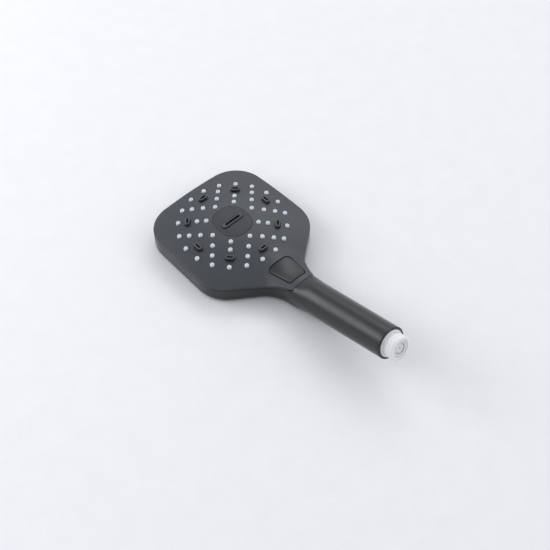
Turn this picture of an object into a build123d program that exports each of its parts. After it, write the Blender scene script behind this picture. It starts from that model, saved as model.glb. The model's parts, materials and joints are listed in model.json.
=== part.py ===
from build123d import *

import os
from math import atan2, cos, degrees, radians, sin, sqrt, tan

# Handheld shower head, lying on its back with the spray face up and the handle along -Y.
# The origin is in the middle of the head, on the plane that the back rests on. Millimetres.

os.makedirs("parts", exist_ok=True)

# Head outline, seen from the spray side
head_half_width = 57.5
side_spread = 1.6
far_edge = 56.6
corner_radius = 28.5
shoulder_y = -38.2
shoulder_angle = 36.5
shoulder_radius = 30.7
neck_half_width = 14.2
neck_straight = 1.0
back_rounding = 4.7
seam_y = -87.0

# Spray face: a shallow dome that rises again along the neck
face_height = 27.5
face_radius = 193.8
corner_lift = 2.0
neck_height = 26.0
neck_slope = 5.0
neck_crown = 30.0
neck_softness = 3.0
face_margin = 8.0
face_rows = 31
face_columns = 27

# Handle
handle_tilt = 14.9
axis_height = 13.07
handle_radius = 14.3
handle_end_radius = 13.85
handle_length = 101.0
handle_bore = 11.8
neck_length = 21.0
rim_chamfer = 0.6

# Walls and general clearances
wall = 2.4
plate_thickness = 2.4
seam_gap = 0.15
lip_depth = 1.8
lip_thickness = 1.5
lip_clearance = 0.15
lip_end_y = -48.0
slide_clearance = 0.3
fit_clearance = 0.1
seal_clearance = 0.03
screw_clearance = 0.05

# More than the whole height, for cuts and trims
high = 60.0

# Spray nozzles: pale rain tips, black fan slots and the middle jet
ring_radius = 46.7
fan_ring_radius = 38.8
inner_ring_radius = 30.3
centre_ring_radius = 22.3
tip_base_radius = 2.1
tip_radius = 1.75
tip_proud = 1.3
tip_bore = 0.6
mat_thickness = 1.6
fan_length = 8.0
fan_width = 3.0
fan_proud = 2.4
fan_slot_length = 5.6
fan_slot_width = 1.1
fan_flange_radius = 4.4
centre_plate_width = 30.8
centre_plate_length = 34.2
centre_plate_corner = 13.5
centre_seam = 0.2
jet_length = 22.6
jet_width = 4.8
jet_proud = 1.5
jet_slot_length = 14.4
jet_slot_width = 1.4
jet_flange_radius = 18.9

# Spray chamber behind the nozzles
chamber_wall = 1.4
chamber_floor = 12.0
chamber_floor_thickness = 1.6
lower_radius = 44.0
cover_height = 3.6
cover_thickness = 1.8
chimney_wall = 1.4
fan_chimney_radius = 4.5
jet_chimney_radius = 14.0
channel_start_y = -38.0
channel_end_y = -24.0
pad_radius = 3.0
pad_ring_radius = 30.0
post_radius = 2.5
post_spread = 6.0
ear_ring_radius = 58.0
ear_reach = 13.0
ear_radius = 3.6
screw_radius = 1.5
screw_head_radius = 2.8
screw_head_height = 1.8
screw_grip = 2.6

# Spray selector under the button
duct_outer = 3.4
duct_bore = 1.7
duct_spread = 12.0
outlet_angle = 30.0
socket_wall = 1.2
socket_reach = 0.4
spigot_end_y = -45.5
body_radius = 10.6
rotor_radius = 8.15
rotor_clearance = 0.05
rotor_floor_gap = 0.1
rotor_below = 2.5
rotor_above = 3.3
body_floor = 1.2
rotor_stem_radius = 2.0
rotor_stem_height = 2.8
rotor_recess = 1.0
throat_half_width = 7.0
throat_length = 16.0
gallery_depth = 1.2
gallery_angle = 150.0
cap_thickness = 1.6
guide_height = 1.4
guide_radius = 4.6
selector_ear_x = 12.6
selector_ear_radius = 2.6
selector_ear_height = 3.0
selector_screw_radius = 1.25
selector_screw_head_radius = 2.2
selector_screw_head_height = 1.3
selector_screw_grip = 2.4

# Button and plunger
button_head_y = -56.5
button_handle_y = -82.1
button_head_half_width = 11.9
button_handle_half_width = 8.9
button_head_corner = 3.7
button_handle_corner = 2.3
button_gap = 0.3
button_travel = 2.5
button_skin = 2.4
button_wall = 1.6
button_flange = 1.2
button_flange_thickness = 1.2
button_dish = 0.9
button_dish_radius = 60.0
plunger_radius = 3.4
plunger_head_radius = 6.2
plunger_head_height = 1.0
plunger_head_drop = 1.7
plunger_wall = 1.1
button_spring_radius = 5.5
button_spring_wire = 0.25
button_spring_turns = 2.0

# Waterway in the handle
tube_radius = 7.0
tube_bore = 5.4
spigot_length = 8.0
spigot_bore = 3.9
collar_start = -5.2

# Inlet connector: outside pipe thread G 1/2
thread_radius = 10.4775
thread_root_radius = 9.3155
thread_pitch = 1.814
thread_turns = 3.6
thread_start = 2.6
thread_relief = 1.4
thread_land = 0.36
thread_flank = 27.5
inlet_reach = 10.2
connector_collar_length = 13.8
collar_proud = 0.8
inlet_chamfer = 0.8
mouth_radius = 7.5
mouth_depth = 15.2
clip_depth = 7.8
clip_width = 1.2
clip_bite = 0.7
clip_gap = 6.0

# Non-return valve in the mouth of the connector
valve_inset = 1.0
valve_seat_radius = 4.9
valve_seat_depth = 2.6
valve_room_radius = 6.3
valve_spider_height = 1.6
valve_foot = 1.6
valve_foot_radius = 6.0
valve_guide_radius = 1.35
valve_window_radius = 1.4
valve_window_ring = 3.9
poppet_nose_radius = 4.4
poppet_nose_length = 2.3
poppet_disc_radius = 5.7
poppet_disc_thickness = 1.5
poppet_stem_radius = 1.2
poppet_dimple_radius = 0.7
poppet_gap = 0.1
poppet_stem_reach = 0.5
poppet_dimple_depth = 1.0
valve_spring_radius = 3.0
valve_spring_wire = 0.3
valve_spring_turns = 4.0

# O-rings: depth and width of their grooves
seal_depth = 1.0
seal_width = 1.4
small_seal_depth = 0.7
small_seal_width = 0.9

# Worked out from the sizes above
tilt = radians(handle_tilt)
neck_pitch = radians(neck_slope)
mat_depth = plate_thickness + mat_thickness
neck_flat = neck_half_width - back_rounding
chamber_radius = ring_radius + tip_base_radius + fit_clearance + chamber_wall
cover_top = cover_height + cover_thickness
duct_height = (cover_top + chamber_floor) / 2
button_y = (button_head_y + button_handle_y) / 2
rotor_bottom = duct_height - rotor_below
rotor_top = duct_height + rotor_above
body_floor_top = rotor_bottom - rotor_floor_gap
body_bottom = body_floor_top - body_floor
body_top = rotor_top + rotor_floor_gap
cap_top = body_top + cap_thickness
guide_top = cap_top + guide_height
cap_seal_radius = (rotor_radius + rotor_clearance + body_radius) / 2
rotor_bore = rotor_radius + rotor_clearance
spigot_radius = tube_bore - fit_clearance
connector_radius = handle_bore - fit_clearance
inlet_end = handle_length + inlet_reach
collar_end = handle_length + collar_proud
collar_back = collar_end - connector_collar_length
mouth_back = inlet_end - mouth_depth
valve_front = inlet_end - valve_inset
valve_radius = mouth_radius - fit_clearance
ear_top = chamber_floor + chamber_floor_thickness
socket_end_y = -chamber_radius - socket_reach
cover_radius = lower_radius - chamber_wall / 2
socket_radius = duct_outer + fit_clearance + socket_wall
outlet_seal_y = (socket_end_y + spigot_end_y) / 2
clip_front = collar_end - clip_depth
valve_room_back = mouth_back + valve_foot + valve_spider_height
valve_room_front = valve_front - valve_seat_depth
poppet_disc_front = valve_room_front - poppet_gap
poppet_disc_back = poppet_disc_front - poppet_disc_thickness


def face_height_at(x, y):
    """Height of the spray face: a dome that joins the crowned top of the neck softly."""
    dome = face_height - (x * x + y * y) / (2 * face_radius) + corner_lift * (x * y / ring_radius**2) ** 2
    neck = neck_height - (y - seam_y) * tan(neck_pitch) - x * x / (2 * neck_crown)
    return (dome + neck + sqrt((dome - neck) ** 2 + neck_softness**2)) / 2


def spread(start, end, count):
    """Evenly spaced values from start to end."""
    return [start + (end - start) * i / (count - 1) for i in range(count)]


face_reach_x = head_half_width + face_margin
face_reach_y = far_edge + face_margin
face_surface = Face.make_surface_from_array_of_points(
    [[(x, y, face_height_at(x, y)) for y in spread(seam_y, face_reach_y, face_rows)]
     for x in spread(-face_reach_x, face_reach_x, face_columns)],
    tol=0.004,
)


def face_layer(top, bottom):
    """The layer that follows the face, between two depths below it."""
    lowered = Pos(0, 0, -bottom) * face_surface
    return extrude(lowered, amount=bottom - top, dir=(0, 0, 1), mode=Mode.PRIVATE)


def above_face(depth):
    """Everything above the face lowered by a depth."""
    return face_layer(depth - high, depth)


def along_handle(distance):
    """Plane across the handle's axis, at a distance from the seam; its Z runs to the hose."""
    origin = (0, seam_y - distance * cos(tilt), axis_height + distance * sin(tilt))
    return Plane(origin=origin, x_dir=(1, 0, 0), z_dir=(0, -cos(tilt), sin(tilt)))


handle_axis = Axis(along_handle(0).origin, along_handle(0).z_dir)
handle_section = Plane(origin=along_handle(0).origin, x_dir=(1, 0, 0), z_dir=(0, -sin(tilt), -cos(tilt)))
seam_section = Plane(origin=(0, seam_y, 0), x_dir=(1, 0, 0), z_dir=(0, -1, 0))


def side_x(y):
    """Half width of the head along its straight sides."""
    return head_half_width - y * tan(radians(side_spread))


def head_outline(height, inset=0.0):
    """Head and neck seen from the spray side, drawn in by inset everywhere but at the neck's end."""
    near_x = side_x(shoulder_y)
    neck_y = shoulder_y - (near_x - neck_half_width) * tan(radians(shoulder_angle))
    flare_radius = (neck_y - seam_y - neck_straight) / tan(radians(90 - shoulder_angle) / 2)
    end_y = seam_y - inset
    with BuildSketch(Plane.XY.offset(height)) as outline:
        with BuildLine():
            half = FilletPolyline(
                (0, far_edge), (side_x(far_edge), far_edge), (near_x, shoulder_y),
                (neck_half_width, neck_y), (neck_half_width, end_y),
                radius=[corner_radius, shoulder_radius, flare_radius],
            )
            Line(half @ 1, (0, end_y))
            mirror(about=Plane.YZ)
        make_face()
        if inset:
            offset(amount=-inset)
    return outline.sketch


def neck_profile(inset):
    """Section of the neck at the seam: rounded below, upright sides, crowned top."""
    half = neck_half_width - inset
    rounding = back_rounding - inset
    edge = face_height_at(neck_half_width, seam_y) - inset
    top = face_height_at(0, seam_y) - inset
    low = inset + rounding * (1 - cos(radians(45)))
    out = half - rounding * (1 - sin(radians(45)))
    with BuildSketch(seam_section) as profile:
        with BuildLine():
            Line((-neck_flat, inset), (neck_flat, inset))
            ThreePointArc((neck_flat, inset), (out, low), (half, inset + rounding))
            Line((half, inset + rounding), (half, edge))
            ThreePointArc((half, edge), (0, top), (-half, edge))
            Line((-half, edge), (-half, inset + rounding))
            ThreePointArc((-half, inset + rounding), (-out, low), (-neck_flat, inset))
        make_face()
    return profile.sketch


def round_profile(radius):
    """The handle's circle in six arcs that answer the six edges of the neck's section."""
    edge = face_height_at(neck_half_width, seam_y)
    right = [
        degrees(atan2(z - axis_height, x))
        for x, z in ((neck_flat, 0), (neck_half_width, back_rounding), (neck_half_width, edge))
    ]
    corners = [-180 - right[0]] + right + [180 - angle for angle in reversed(right)]
    with BuildSketch(along_handle(neck_length)) as profile:
        with BuildLine():
            for start, end in zip(corners[:-1], corners[1:]):
                angles = [radians(a) for a in (start, (start + end) / 2, end)]
                ThreePointArc(*[(radius * cos(a), radius * sin(a)) for a in angles])
        make_face()
    return profile.sketch


def ring_at(radius, count, start):
    """Places on one nozzle ring."""
    angles = [radians(start + 360 * i / count) for i in range(count)]
    return [(radius * cos(a), radius * sin(a)) for a in angles]


def button_outline(grow=0.0):
    """The button's rounded trapezoid, grown by a margin."""
    with BuildSketch() as outline:
        with BuildLine():
            FilletPolyline(
                (0, button_head_y), (button_head_half_width, button_head_y),
                (button_handle_half_width, button_handle_y), (0, button_handle_y),
                radius=[button_head_corner, button_handle_corner],
            )
            mirror(about=Plane.YZ)
        make_face()
        if grow:
            offset(amount=grow)
    return outline.sketch


button_top = face_height_at(0, button_y)
plunger_top = button_top - button_skin - plunger_head_drop
plunger_head_bottom = plunger_top - plunger_head_height
plunger_bottom = rotor_top - rotor_recess + button_travel + fit_clearance
flange_top = plate_thickness + slide_clearance
flange_bottom = flange_top + button_flange_thickness
rotor_seal_height = rotor_top - small_seal_width
plunger_seal_height = guide_top - small_seal_width

rain_places = (
    ring_at(ring_radius, 20, 45) + ring_at(fan_ring_radius, 8, 22.5)
    + ring_at(inner_ring_radius, 12, 45) + ring_at(centre_ring_radius, 8, 0)
)
fan_places = ring_at(fan_ring_radius, 8, 0)
on_floor = (Align.CENTER, Align.CENTER, Align.MIN)
hung = (Align.CENTER, Align.CENTER, Align.MAX)
ear_places = ring_at(ear_ring_radius, 4, 45)
outlet_xs = (-duct_spread, 0, duct_spread)
selector_ear_places = [(-selector_ear_x, button_y), (selector_ear_x, button_y)]
elbow_y = button_y + duct_spread * tan(radians(outlet_angle))


def at_face(places, rise):
    """Places lifted to the face and a rise above it."""
    return [(x, y, face_height_at(x, y) + rise) for x, y in places]


def seal_ring(plane, inner, outer):
    """O-ring that fills the room between two radii, on a plane."""
    middle = (inner + outer) / 2
    section = (outer - inner) / 2 - seal_clearance
    return plane * Torus(middle, section, mode=Mode.PRIVATE)


def turned(points, section, axis, mode=Mode.ADD):
    """Solid turned about an axis from the outline of its half section."""
    with BuildSketch(section) as half:
        with BuildLine():
            Polyline(*points, close=True)
        make_face()
    revolve(half.sketch, axis=axis, mode=mode)


def round_run(start, direction, radius, length, mode=Mode.ADD):
    """Straight round bar, or bore, from a point along a direction."""
    with BuildSketch(Plane(origin=start, z_dir=direction)) as section:
        Circle(radius)
    extrude(section.sketch, amount=length, mode=mode)


def ring_run(plane, inner, outer, width, mode=Mode.ADD):
    """Flat ring, or ring groove, centred on a plane."""
    with BuildSketch(plane.offset(-width / 2)) as section:
        Circle(outer)
        Circle(inner, mode=Mode.SUBTRACT)
    extrude(section.sketch, amount=width, mode=mode)


def outlet_ducts(radius, mode=Mode.ADD):
    """The selector's outlets: one straight ahead, two that leave sideways and turn ahead."""
    middle = (0, button_y, duct_height)
    turn = radians(outlet_angle)
    round_run(middle, (0, 1, 0), radius, spigot_end_y - button_y, mode)
    for side in (-1, 1):
        elbow = (side * duct_spread, elbow_y, duct_height)
        round_run(middle, (side * cos(turn), sin(turn), 0), radius, duct_spread / cos(turn), mode)
        with Locations(elbow):
            Sphere(radius, mode=mode)
        round_run(elbow, (0, 1, 0), radius, spigot_end_y - elbow_y, mode)


# Room inside the head and neck
with BuildPart() as head_room:
    extrude(head_outline(wall, wall), amount=high)
    fillet(head_room.edges().group_by(Axis.Z)[0].sort_by(Axis.Y)[1:], back_rounding - wall)

# Rear shell: the back of the head and the handle in one moulding
with BuildPart() as rear_shell:
    extrude(head_outline(0), amount=high)
    fillet(rear_shell.edges().group_by(Axis.Z)[0].sort_by(Axis.Y)[1:], back_rounding)
    add(head_room.part, mode=Mode.SUBTRACT)
    add(above_face(plate_thickness), mode=Mode.SUBTRACT)
    with Locations((0, 0, wall)):
        with PolarLocations(pad_ring_radius, 4, 45):
            Cylinder(pad_radius, cover_height - wall, align=on_floor)
    with Locations((0, button_y - post_spread, wall), (0, button_y + post_spread, wall)):
        Cylinder(post_radius, body_bottom - wall, align=on_floor)
    loft([neck_profile(0), round_profile(handle_radius)])
    turned(
        [(0, neck_length), (handle_radius, neck_length), (handle_end_radius, handle_length - rim_chamfer),
         (handle_end_radius - rim_chamfer, handle_length), (0, handle_length)],
        handle_section, handle_axis,
    )
    loft([neck_profile(wall), round_profile(handle_bore)], mode=Mode.SUBTRACT)
    turned(
        [(0, neck_length), (handle_bore, neck_length), (handle_bore, handle_length), (0, handle_length)],
        handle_section, handle_axis, mode=Mode.SUBTRACT,
    )
    with BuildSketch(along_handle(collar_end - clip_depth)):
        Circle(handle_bore + clip_bite)
    extrude(amount=-clip_width, mode=Mode.SUBTRACT)
rear_shell.part.label = "rear_shell"
export_step(rear_shell.part, "parts/rear_shell.step")

# Face plate: the domed front with its lip and screw bosses
with BuildPart() as plate_lip:
    extrude(head_outline(0, wall + lip_clearance), amount=high)
    extrude(head_outline(0, wall + lip_clearance + lip_thickness), amount=high, mode=Mode.SUBTRACT)
    add(face_layer(plate_thickness, plate_thickness + lip_depth), mode=Mode.INTERSECT)
    split(bisect_by=Plane.XZ.offset(-lip_end_y), keep=Keep.BOTTOM)

with BuildPart() as plate_bosses:
    with Locations(*[(x, y, ear_top) for x, y in ear_places]):
        Cylinder(ear_radius, high, align=on_floor)
    add(above_face(plate_thickness / 2), mode=Mode.SUBTRACT)

with BuildPart() as face_plate:
    extrude(head_outline(0), amount=high)
    add(face_layer(0, plate_thickness), mode=Mode.INTERSECT)
    with Locations((0, seam_y, 0)):
        Box(4 * neck_half_width, 2 * seam_gap, high, align=on_floor, mode=Mode.SUBTRACT)
    add(plate_lip.part)
    add(plate_bosses.part)
    with Locations(*[(x, y, ear_top) for x, y in ear_places]):
        Cylinder(screw_radius + screw_clearance, screw_grip, align=on_floor, mode=Mode.SUBTRACT)
    with Locations(*at_face(rain_places, 0)):
        Cylinder(tip_base_radius + fit_clearance, 4 * plate_thickness, mode=Mode.SUBTRACT)
    with BuildSketch():
        with PolarLocations(fan_ring_radius, 8):
            SlotOverall(fan_length + 2 * fit_clearance, fan_width + 2 * fit_clearance, rotation=90)
        RectangleRounded(centre_plate_width, centre_plate_length, centre_plate_corner)
    extrude(amount=high, mode=Mode.SUBTRACT)
    extrude(button_outline(button_gap), amount=high, mode=Mode.SUBTRACT)
face_plate.part.label = "face_plate"
export_step(face_plate.part, "parts/face_plate.step")

# Rain nozzle mat: one soft sheet with the pale tips that stand through the face
with BuildPart() as rain_nozzle_mat:
    Cylinder(chamber_radius, high, align=on_floor)
    Cylinder(jet_flange_radius + fit_clearance, high, align=on_floor, mode=Mode.SUBTRACT)
    with PolarLocations(fan_ring_radius, 8):
        Cylinder(fan_flange_radius + fit_clearance, high, align=on_floor, mode=Mode.SUBTRACT)
    add(face_layer(plate_thickness, mat_depth), mode=Mode.INTERSECT)
    tip_height = tip_proud + plate_thickness + mat_thickness / 2
    with Locations(*at_face(rain_places, tip_proud)):
        Cone(tip_base_radius, tip_radius, tip_height, align=hung)
        Cylinder(tip_bore, 2 * tip_height, align=hung, mode=Mode.SUBTRACT)
rain_nozzle_mat.part.label = "rain_nozzle_mat"
export_step(rain_nozzle_mat.part, "parts/rain_nozzle_mat.step")

# Fan nozzles: eight soft slot nozzles, each with a round flange under the plate
with BuildPart() as fan_nozzles:
    with Locations(*fan_places):
        Cylinder(fan_flange_radius, high, align=on_floor)
    add(face_layer(plate_thickness, mat_depth), mode=Mode.INTERSECT)
    for i, place in enumerate(at_face(fan_places, fan_proud)):
        with BuildSketch(Plane(Location(place, (0, 0, 360 * i / len(fan_places))))):
            SlotOverall(fan_length, fan_width, rotation=90)
        extrude(amount=-(fan_proud + plate_thickness + mat_thickness / 2))
        with BuildSketch(Plane(Location(place, (0, 0, 360 * i / len(fan_places))))):
            SlotOverall(fan_slot_length, fan_slot_width, rotation=90)
        extrude(amount=-2 * (fan_proud + mat_depth), mode=Mode.SUBTRACT)
fan_nozzles.part.label = "fan_nozzles"
export_step(fan_nozzles.part, "parts/fan_nozzles.step")

# Centre plate: flush rounded square in the middle of the face
with BuildPart() as centre_plate:
    with BuildSketch():
        RectangleRounded(
            centre_plate_width - 2 * centre_seam, centre_plate_length - 2 * centre_seam,
            centre_plate_corner - centre_seam,
        )
        SlotOverall(jet_length + 2 * fit_clearance, jet_width + 2 * fit_clearance, mode=Mode.SUBTRACT)
    extrude(amount=high)
    add(face_layer(0, plate_thickness), mode=Mode.INTERSECT)
centre_plate.part.label = "centre_plate"
export_step(centre_plate.part, "parts/centre_plate.step")

# Jet nozzle: the raised long slot, on a flange that carries the centre plate
with BuildPart() as jet_nozzle:
    Cylinder(jet_flange_radius, high, align=on_floor)
    add(face_layer(plate_thickness, mat_depth), mode=Mode.INTERSECT)
    with BuildSketch(Plane.XY.offset(face_height_at(0, 0) + jet_proud)):
        SlotOverall(jet_length, jet_width)
    extrude(amount=-(jet_proud + plate_thickness + mat_thickness / 2))
    with BuildSketch():
        SlotOverall(jet_slot_length, jet_slot_width)
    extrude(amount=high, mode=Mode.SUBTRACT)
jet_nozzle.part.label = "jet_nozzle"
export_step(jet_nozzle.part, "parts/jet_nozzle.step")

# Spray chamber: tray behind the nozzles, with chimneys, sockets and screw ears
rib_offset = duct_outer + chamber_wall / 2
with BuildPart() as spray_chamber:
    with BuildSketch(Plane.XY.offset(chamber_floor)):
        Circle(chamber_radius)
        with PolarLocations(ear_ring_radius - ear_reach / 2, 4, 45):
            SlotCenterToCenter(ear_reach, 2 * ear_radius)
    extrude(amount=chamber_floor_thickness)
    with BuildSketch(Plane.XY.offset(chamber_floor)):
        Circle(chamber_radius)
        Circle(chamber_radius - chamber_wall, mode=Mode.SUBTRACT)
        Circle(jet_chimney_radius)
        with Locations(*fan_places):
            Circle(fan_chimney_radius)
    extrude(amount=high)
    with BuildSketch(Plane.XY.offset(cover_top)):
        Circle(lower_radius)
        Circle(lower_radius - chamber_wall, mode=Mode.SUBTRACT)
        for side in (-1, 1):
            end_y = -jet_chimney_radius / 2 if side > 0 else channel_end_y
            for x in (side * duct_spread - rib_offset, side * duct_spread + rib_offset):
                start_y = -sqrt((lower_radius - chamber_wall / 2) ** 2 - x * x)
                with Locations((x, (start_y + end_y) / 2)):
                    Rectangle(chamber_wall, end_y - start_y)
            with Locations((side * duct_spread, end_y)):
                Rectangle(2 * rib_offset + chamber_wall, chamber_wall)
        Circle(jet_chimney_radius)
    extrude(amount=chamber_floor - cover_top)
    for x in outlet_xs:
        socket_depth = -sqrt(cover_radius**2 - x * x) - socket_end_y
        round_run((x, socket_end_y, duct_height), (0, 1, 0), socket_radius, socket_depth)
    for x in outlet_xs:
        round_run((x, socket_end_y, duct_height), (0, 1, 0), duct_outer + fit_clearance,
                  spigot_end_y + fit_clearance - socket_end_y, mode=Mode.SUBTRACT)
        round_run((x, socket_end_y, duct_height), (0, 1, 0), duct_bore,
                  channel_start_y - socket_end_y, mode=Mode.SUBTRACT)
    round_run((duct_spread, channel_end_y, duct_height), (0, 1, 0), duct_bore, -channel_end_y,
              mode=Mode.SUBTRACT)
    with BuildSketch(Plane.XY.offset(chamber_floor)):
        with Locations((-duct_spread, channel_end_y - 2 * duct_outer)):
            SlotOverall(3 * duct_outer, 2 * duct_bore, rotation=90)
        with Locations(*fan_places):
            Circle(fan_chimney_radius - chimney_wall)
    extrude(amount=high, mode=Mode.SUBTRACT)
    with Locations((0, 0, cover_top)):
        Cylinder(jet_chimney_radius - chimney_wall, high, align=on_floor, mode=Mode.SUBTRACT)
    add(above_face(mat_depth), mode=Mode.SUBTRACT)
    with Locations(*[(x, y, ear_top) for x, y in ear_places]):
        Cylinder(screw_radius + fit_clearance, 2 * chamber_floor_thickness, mode=Mode.SUBTRACT)
    with Locations((0, 0, cover_height)):
        Cylinder(cover_radius, cover_thickness, align=on_floor, mode=Mode.SUBTRACT)
spray_chamber.part.label = "spray_chamber"
export_step(spray_chamber.part, "parts/spray_chamber.step")

# Chamber cover: closes the water channels from behind and rests on the shell's pads
with BuildPart() as chamber_cover:
    with Locations((0, 0, cover_height)):
        Cylinder(cover_radius, cover_thickness, align=on_floor)
chamber_cover.part.label = "chamber_cover"
export_step(chamber_cover.part, "parts/chamber_cover.step")

# Chamber screws: hold the tray to the bosses of the face plate
with BuildPart() as chamber_screws:
    with Locations(*[(x, y, chamber_floor) for x, y in ear_places]):
        Cylinder(screw_head_radius, screw_head_height, align=hung)
        Cylinder(screw_radius, chamber_floor_thickness + screw_grip - fit_clearance, align=on_floor)
chamber_screws.part.label = "chamber_screws"
export_step(chamber_screws.part, "parts/chamber_screws.step")

# Diverter body: the selector's housing, from the waterway to the three outlets
with BuildPart() as diverter_body:
    with Locations((0, button_y, body_bottom)):
        Cylinder(body_radius, body_top - body_bottom, align=on_floor)
        Box(2 * throat_half_width, throat_length, body_top - body_bottom,
            align=(Align.CENTER, Align.MAX, Align.MIN))
    outlet_ducts(duct_outer)
    with Locations(*[(x, y, body_top) for x, y in selector_ear_places]):
        Cylinder(selector_ear_radius, selector_ear_height, align=hung)
    with Locations((0, button_y, body_top)):
        Box(2 * selector_ear_x, 2 * selector_ear_radius, selector_ear_height, align=hung)
    turned(
        [(0, collar_start), (tube_radius, collar_start), (tube_radius, 0), (spigot_radius, 0),
         (spigot_radius, spigot_length), (0, spigot_length)],
        handle_section, handle_axis,
    )
    with Locations((0, button_y, body_floor_top)):
        Cylinder(rotor_bore, high, align=on_floor, mode=Mode.SUBTRACT)
    outlet_ducts(duct_bore, mode=Mode.SUBTRACT)
    with Locations((0, button_y, duct_height)):
        Box(2 * (throat_half_width - chamber_wall), throat_length - chamber_wall, 2 * duct_bore,
            align=(Align.CENTER, Align.MAX, Align.CENTER), mode=Mode.SUBTRACT)
        Cylinder(rotor_bore + gallery_depth, 2 * duct_bore, arc_size=gallery_angle,
                 rotation=(0, 0, -90 - gallery_angle / 2), mode=Mode.SUBTRACT)
    round_run(along_handle(collar_start + chamber_wall).origin, handle_axis.direction, spigot_bore,
              spigot_length - collar_start, mode=Mode.SUBTRACT)
    ring_run(along_handle(spigot_length / 2), spigot_radius - seal_depth, tube_radius, seal_width,
             mode=Mode.SUBTRACT)
    for x in outlet_xs:
        ring_run(Plane(origin=(x, outlet_seal_y, duct_height), z_dir=(0, 1, 0)),
                 duct_outer - seal_depth, socket_radius, seal_width, mode=Mode.SUBTRACT)
    ring_run(Plane(origin=(0, button_y, body_top)), cap_seal_radius - small_seal_width / 2,
             cap_seal_radius + small_seal_width / 2, 2 * small_seal_depth, mode=Mode.SUBTRACT)
    with Locations(*[(x, y, body_top) for x, y in selector_ear_places]):
        Cylinder(selector_screw_radius + screw_clearance, selector_screw_grip, align=hung, mode=Mode.SUBTRACT)
diverter_body.part.label = "diverter_body"
export_step(diverter_body.part, "parts/diverter_body.step")

# Outlet seals: one O-ring on each outlet of the selector
with BuildPart() as outlet_seals:
    for x in outlet_xs:
        seal_plane = Plane(origin=(x, outlet_seal_y, duct_height), z_dir=(0, 1, 0))
        add(seal_ring(seal_plane, duct_outer - seal_depth, duct_outer + fit_clearance))
outlet_seals.part.label = "outlet_seals"
export_step(outlet_seals.part, "parts/outlet_seals.step")

# Diverter rotor: plug with one straight passage, turned by the plunger
with BuildPart() as diverter_rotor:
    with Locations((0, button_y, rotor_bottom)):
        Cylinder(rotor_radius, rotor_top - rotor_bottom, align=on_floor)
    with Locations((0, button_y, rotor_top)):
        Cylinder(plunger_radius + slide_clearance, rotor_recess, align=hung, mode=Mode.SUBTRACT)
        Cylinder(rotor_stem_radius, rotor_recess, align=hung)
        Cylinder(rotor_stem_radius, rotor_stem_height, align=on_floor)
    round_run((0, button_y - body_radius, duct_height), (0, 1, 0), duct_bore, 2 * body_radius,
              mode=Mode.SUBTRACT)
    ring_run(Plane(origin=(0, button_y, rotor_seal_height)), rotor_radius - small_seal_depth, body_radius,
             small_seal_width, mode=Mode.SUBTRACT)
diverter_rotor.part.label = "diverter_rotor"
export_step(diverter_rotor.part, "parts/diverter_rotor.step")

# Rotor seal: O-ring near the top of the plug
with BuildPart() as rotor_seal:
    seal_plane = Plane(origin=(0, button_y, rotor_seal_height))
    add(seal_ring(seal_plane, rotor_radius - small_seal_depth, rotor_bore))
rotor_seal.part.label = "rotor_seal"
export_step(rotor_seal.part, "parts/rotor_seal.step")

# Diverter cap: closes the selector and guides the plunger
with BuildPart() as diverter_cap:
    with BuildSketch(Plane.XY.offset(body_top)):
        with Locations((0, button_y)):
            Circle(body_radius)
            Rectangle(2 * selector_ear_x, 2 * selector_ear_radius)
        with Locations(*selector_ear_places):
            Circle(selector_ear_radius)
            Circle(selector_screw_radius + fit_clearance, mode=Mode.SUBTRACT)
    extrude(amount=cap_thickness)
    with Locations((0, button_y, body_top)):
        Cylinder(guide_radius, guide_top - body_top, align=on_floor)
        Cylinder(plunger_radius + fit_clearance, high, align=on_floor, mode=Mode.SUBTRACT)
    ring_run(Plane(origin=(0, button_y, plunger_seal_height)), plunger_radius,
             plunger_radius + fit_clearance + small_seal_depth, small_seal_width, mode=Mode.SUBTRACT)
diverter_cap.part.label = "diverter_cap"
export_step(diverter_cap.part, "parts/diverter_cap.step")

# Diverter cap seal: O-ring between the cap and the body
with BuildPart() as diverter_cap_seal:
    with Locations((0, button_y, body_top - small_seal_depth / 2)):
        Torus(cap_seal_radius, small_seal_depth / 2 - seal_clearance)
diverter_cap_seal.part.label = "diverter_cap_seal"
export_step(diverter_cap_seal.part, "parts/diverter_cap_seal.step")

# Diverter screws: hold the cap to the body
with BuildPart() as diverter_screws:
    with Locations(*[(x, y, cap_top) for x, y in selector_ear_places]):
        Cylinder(selector_screw_head_radius, selector_screw_head_height, align=on_floor)
        Cylinder(selector_screw_radius, cap_thickness + selector_screw_grip - fit_clearance, align=hung)
diverter_screws.part.label = "diverter_screws"
export_step(diverter_screws.part, "parts/diverter_screws.step")

# Button: dished cap with a skirt and a flange under the face plate
with BuildPart() as button_skirt:
    extrude(button_outline(button_flange), amount=high)
    add(face_layer(flange_top, flange_bottom), mode=Mode.INTERSECT)

with BuildPart() as button_hollow:
    extrude(button_outline(-button_wall), amount=high)
    add(face_layer(button_skin, 2 * flange_bottom), mode=Mode.INTERSECT)

with BuildPart() as button_boss:
    with Locations((0, button_y, plunger_top)):
        Cylinder(plunger_head_radius, high, align=on_floor)
    add(above_face(button_skin / 2), mode=Mode.SUBTRACT)

with BuildPart() as button:
    extrude(button_outline(), amount=high)
    add(face_layer(0, flange_bottom), mode=Mode.INTERSECT)
    add(button_skirt.part)
    add(button_hollow.part, mode=Mode.SUBTRACT)
    add(button_boss.part)
    dish_rise = button_dish_radius - button_dish
    with Locations((0, button_y + dish_rise * sin(neck_pitch), button_top + dish_rise * cos(neck_pitch))):
        Sphere(button_dish_radius, mode=Mode.SUBTRACT)
button.part.label = "button"
export_step(button.part, "parts/button.step")

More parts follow.
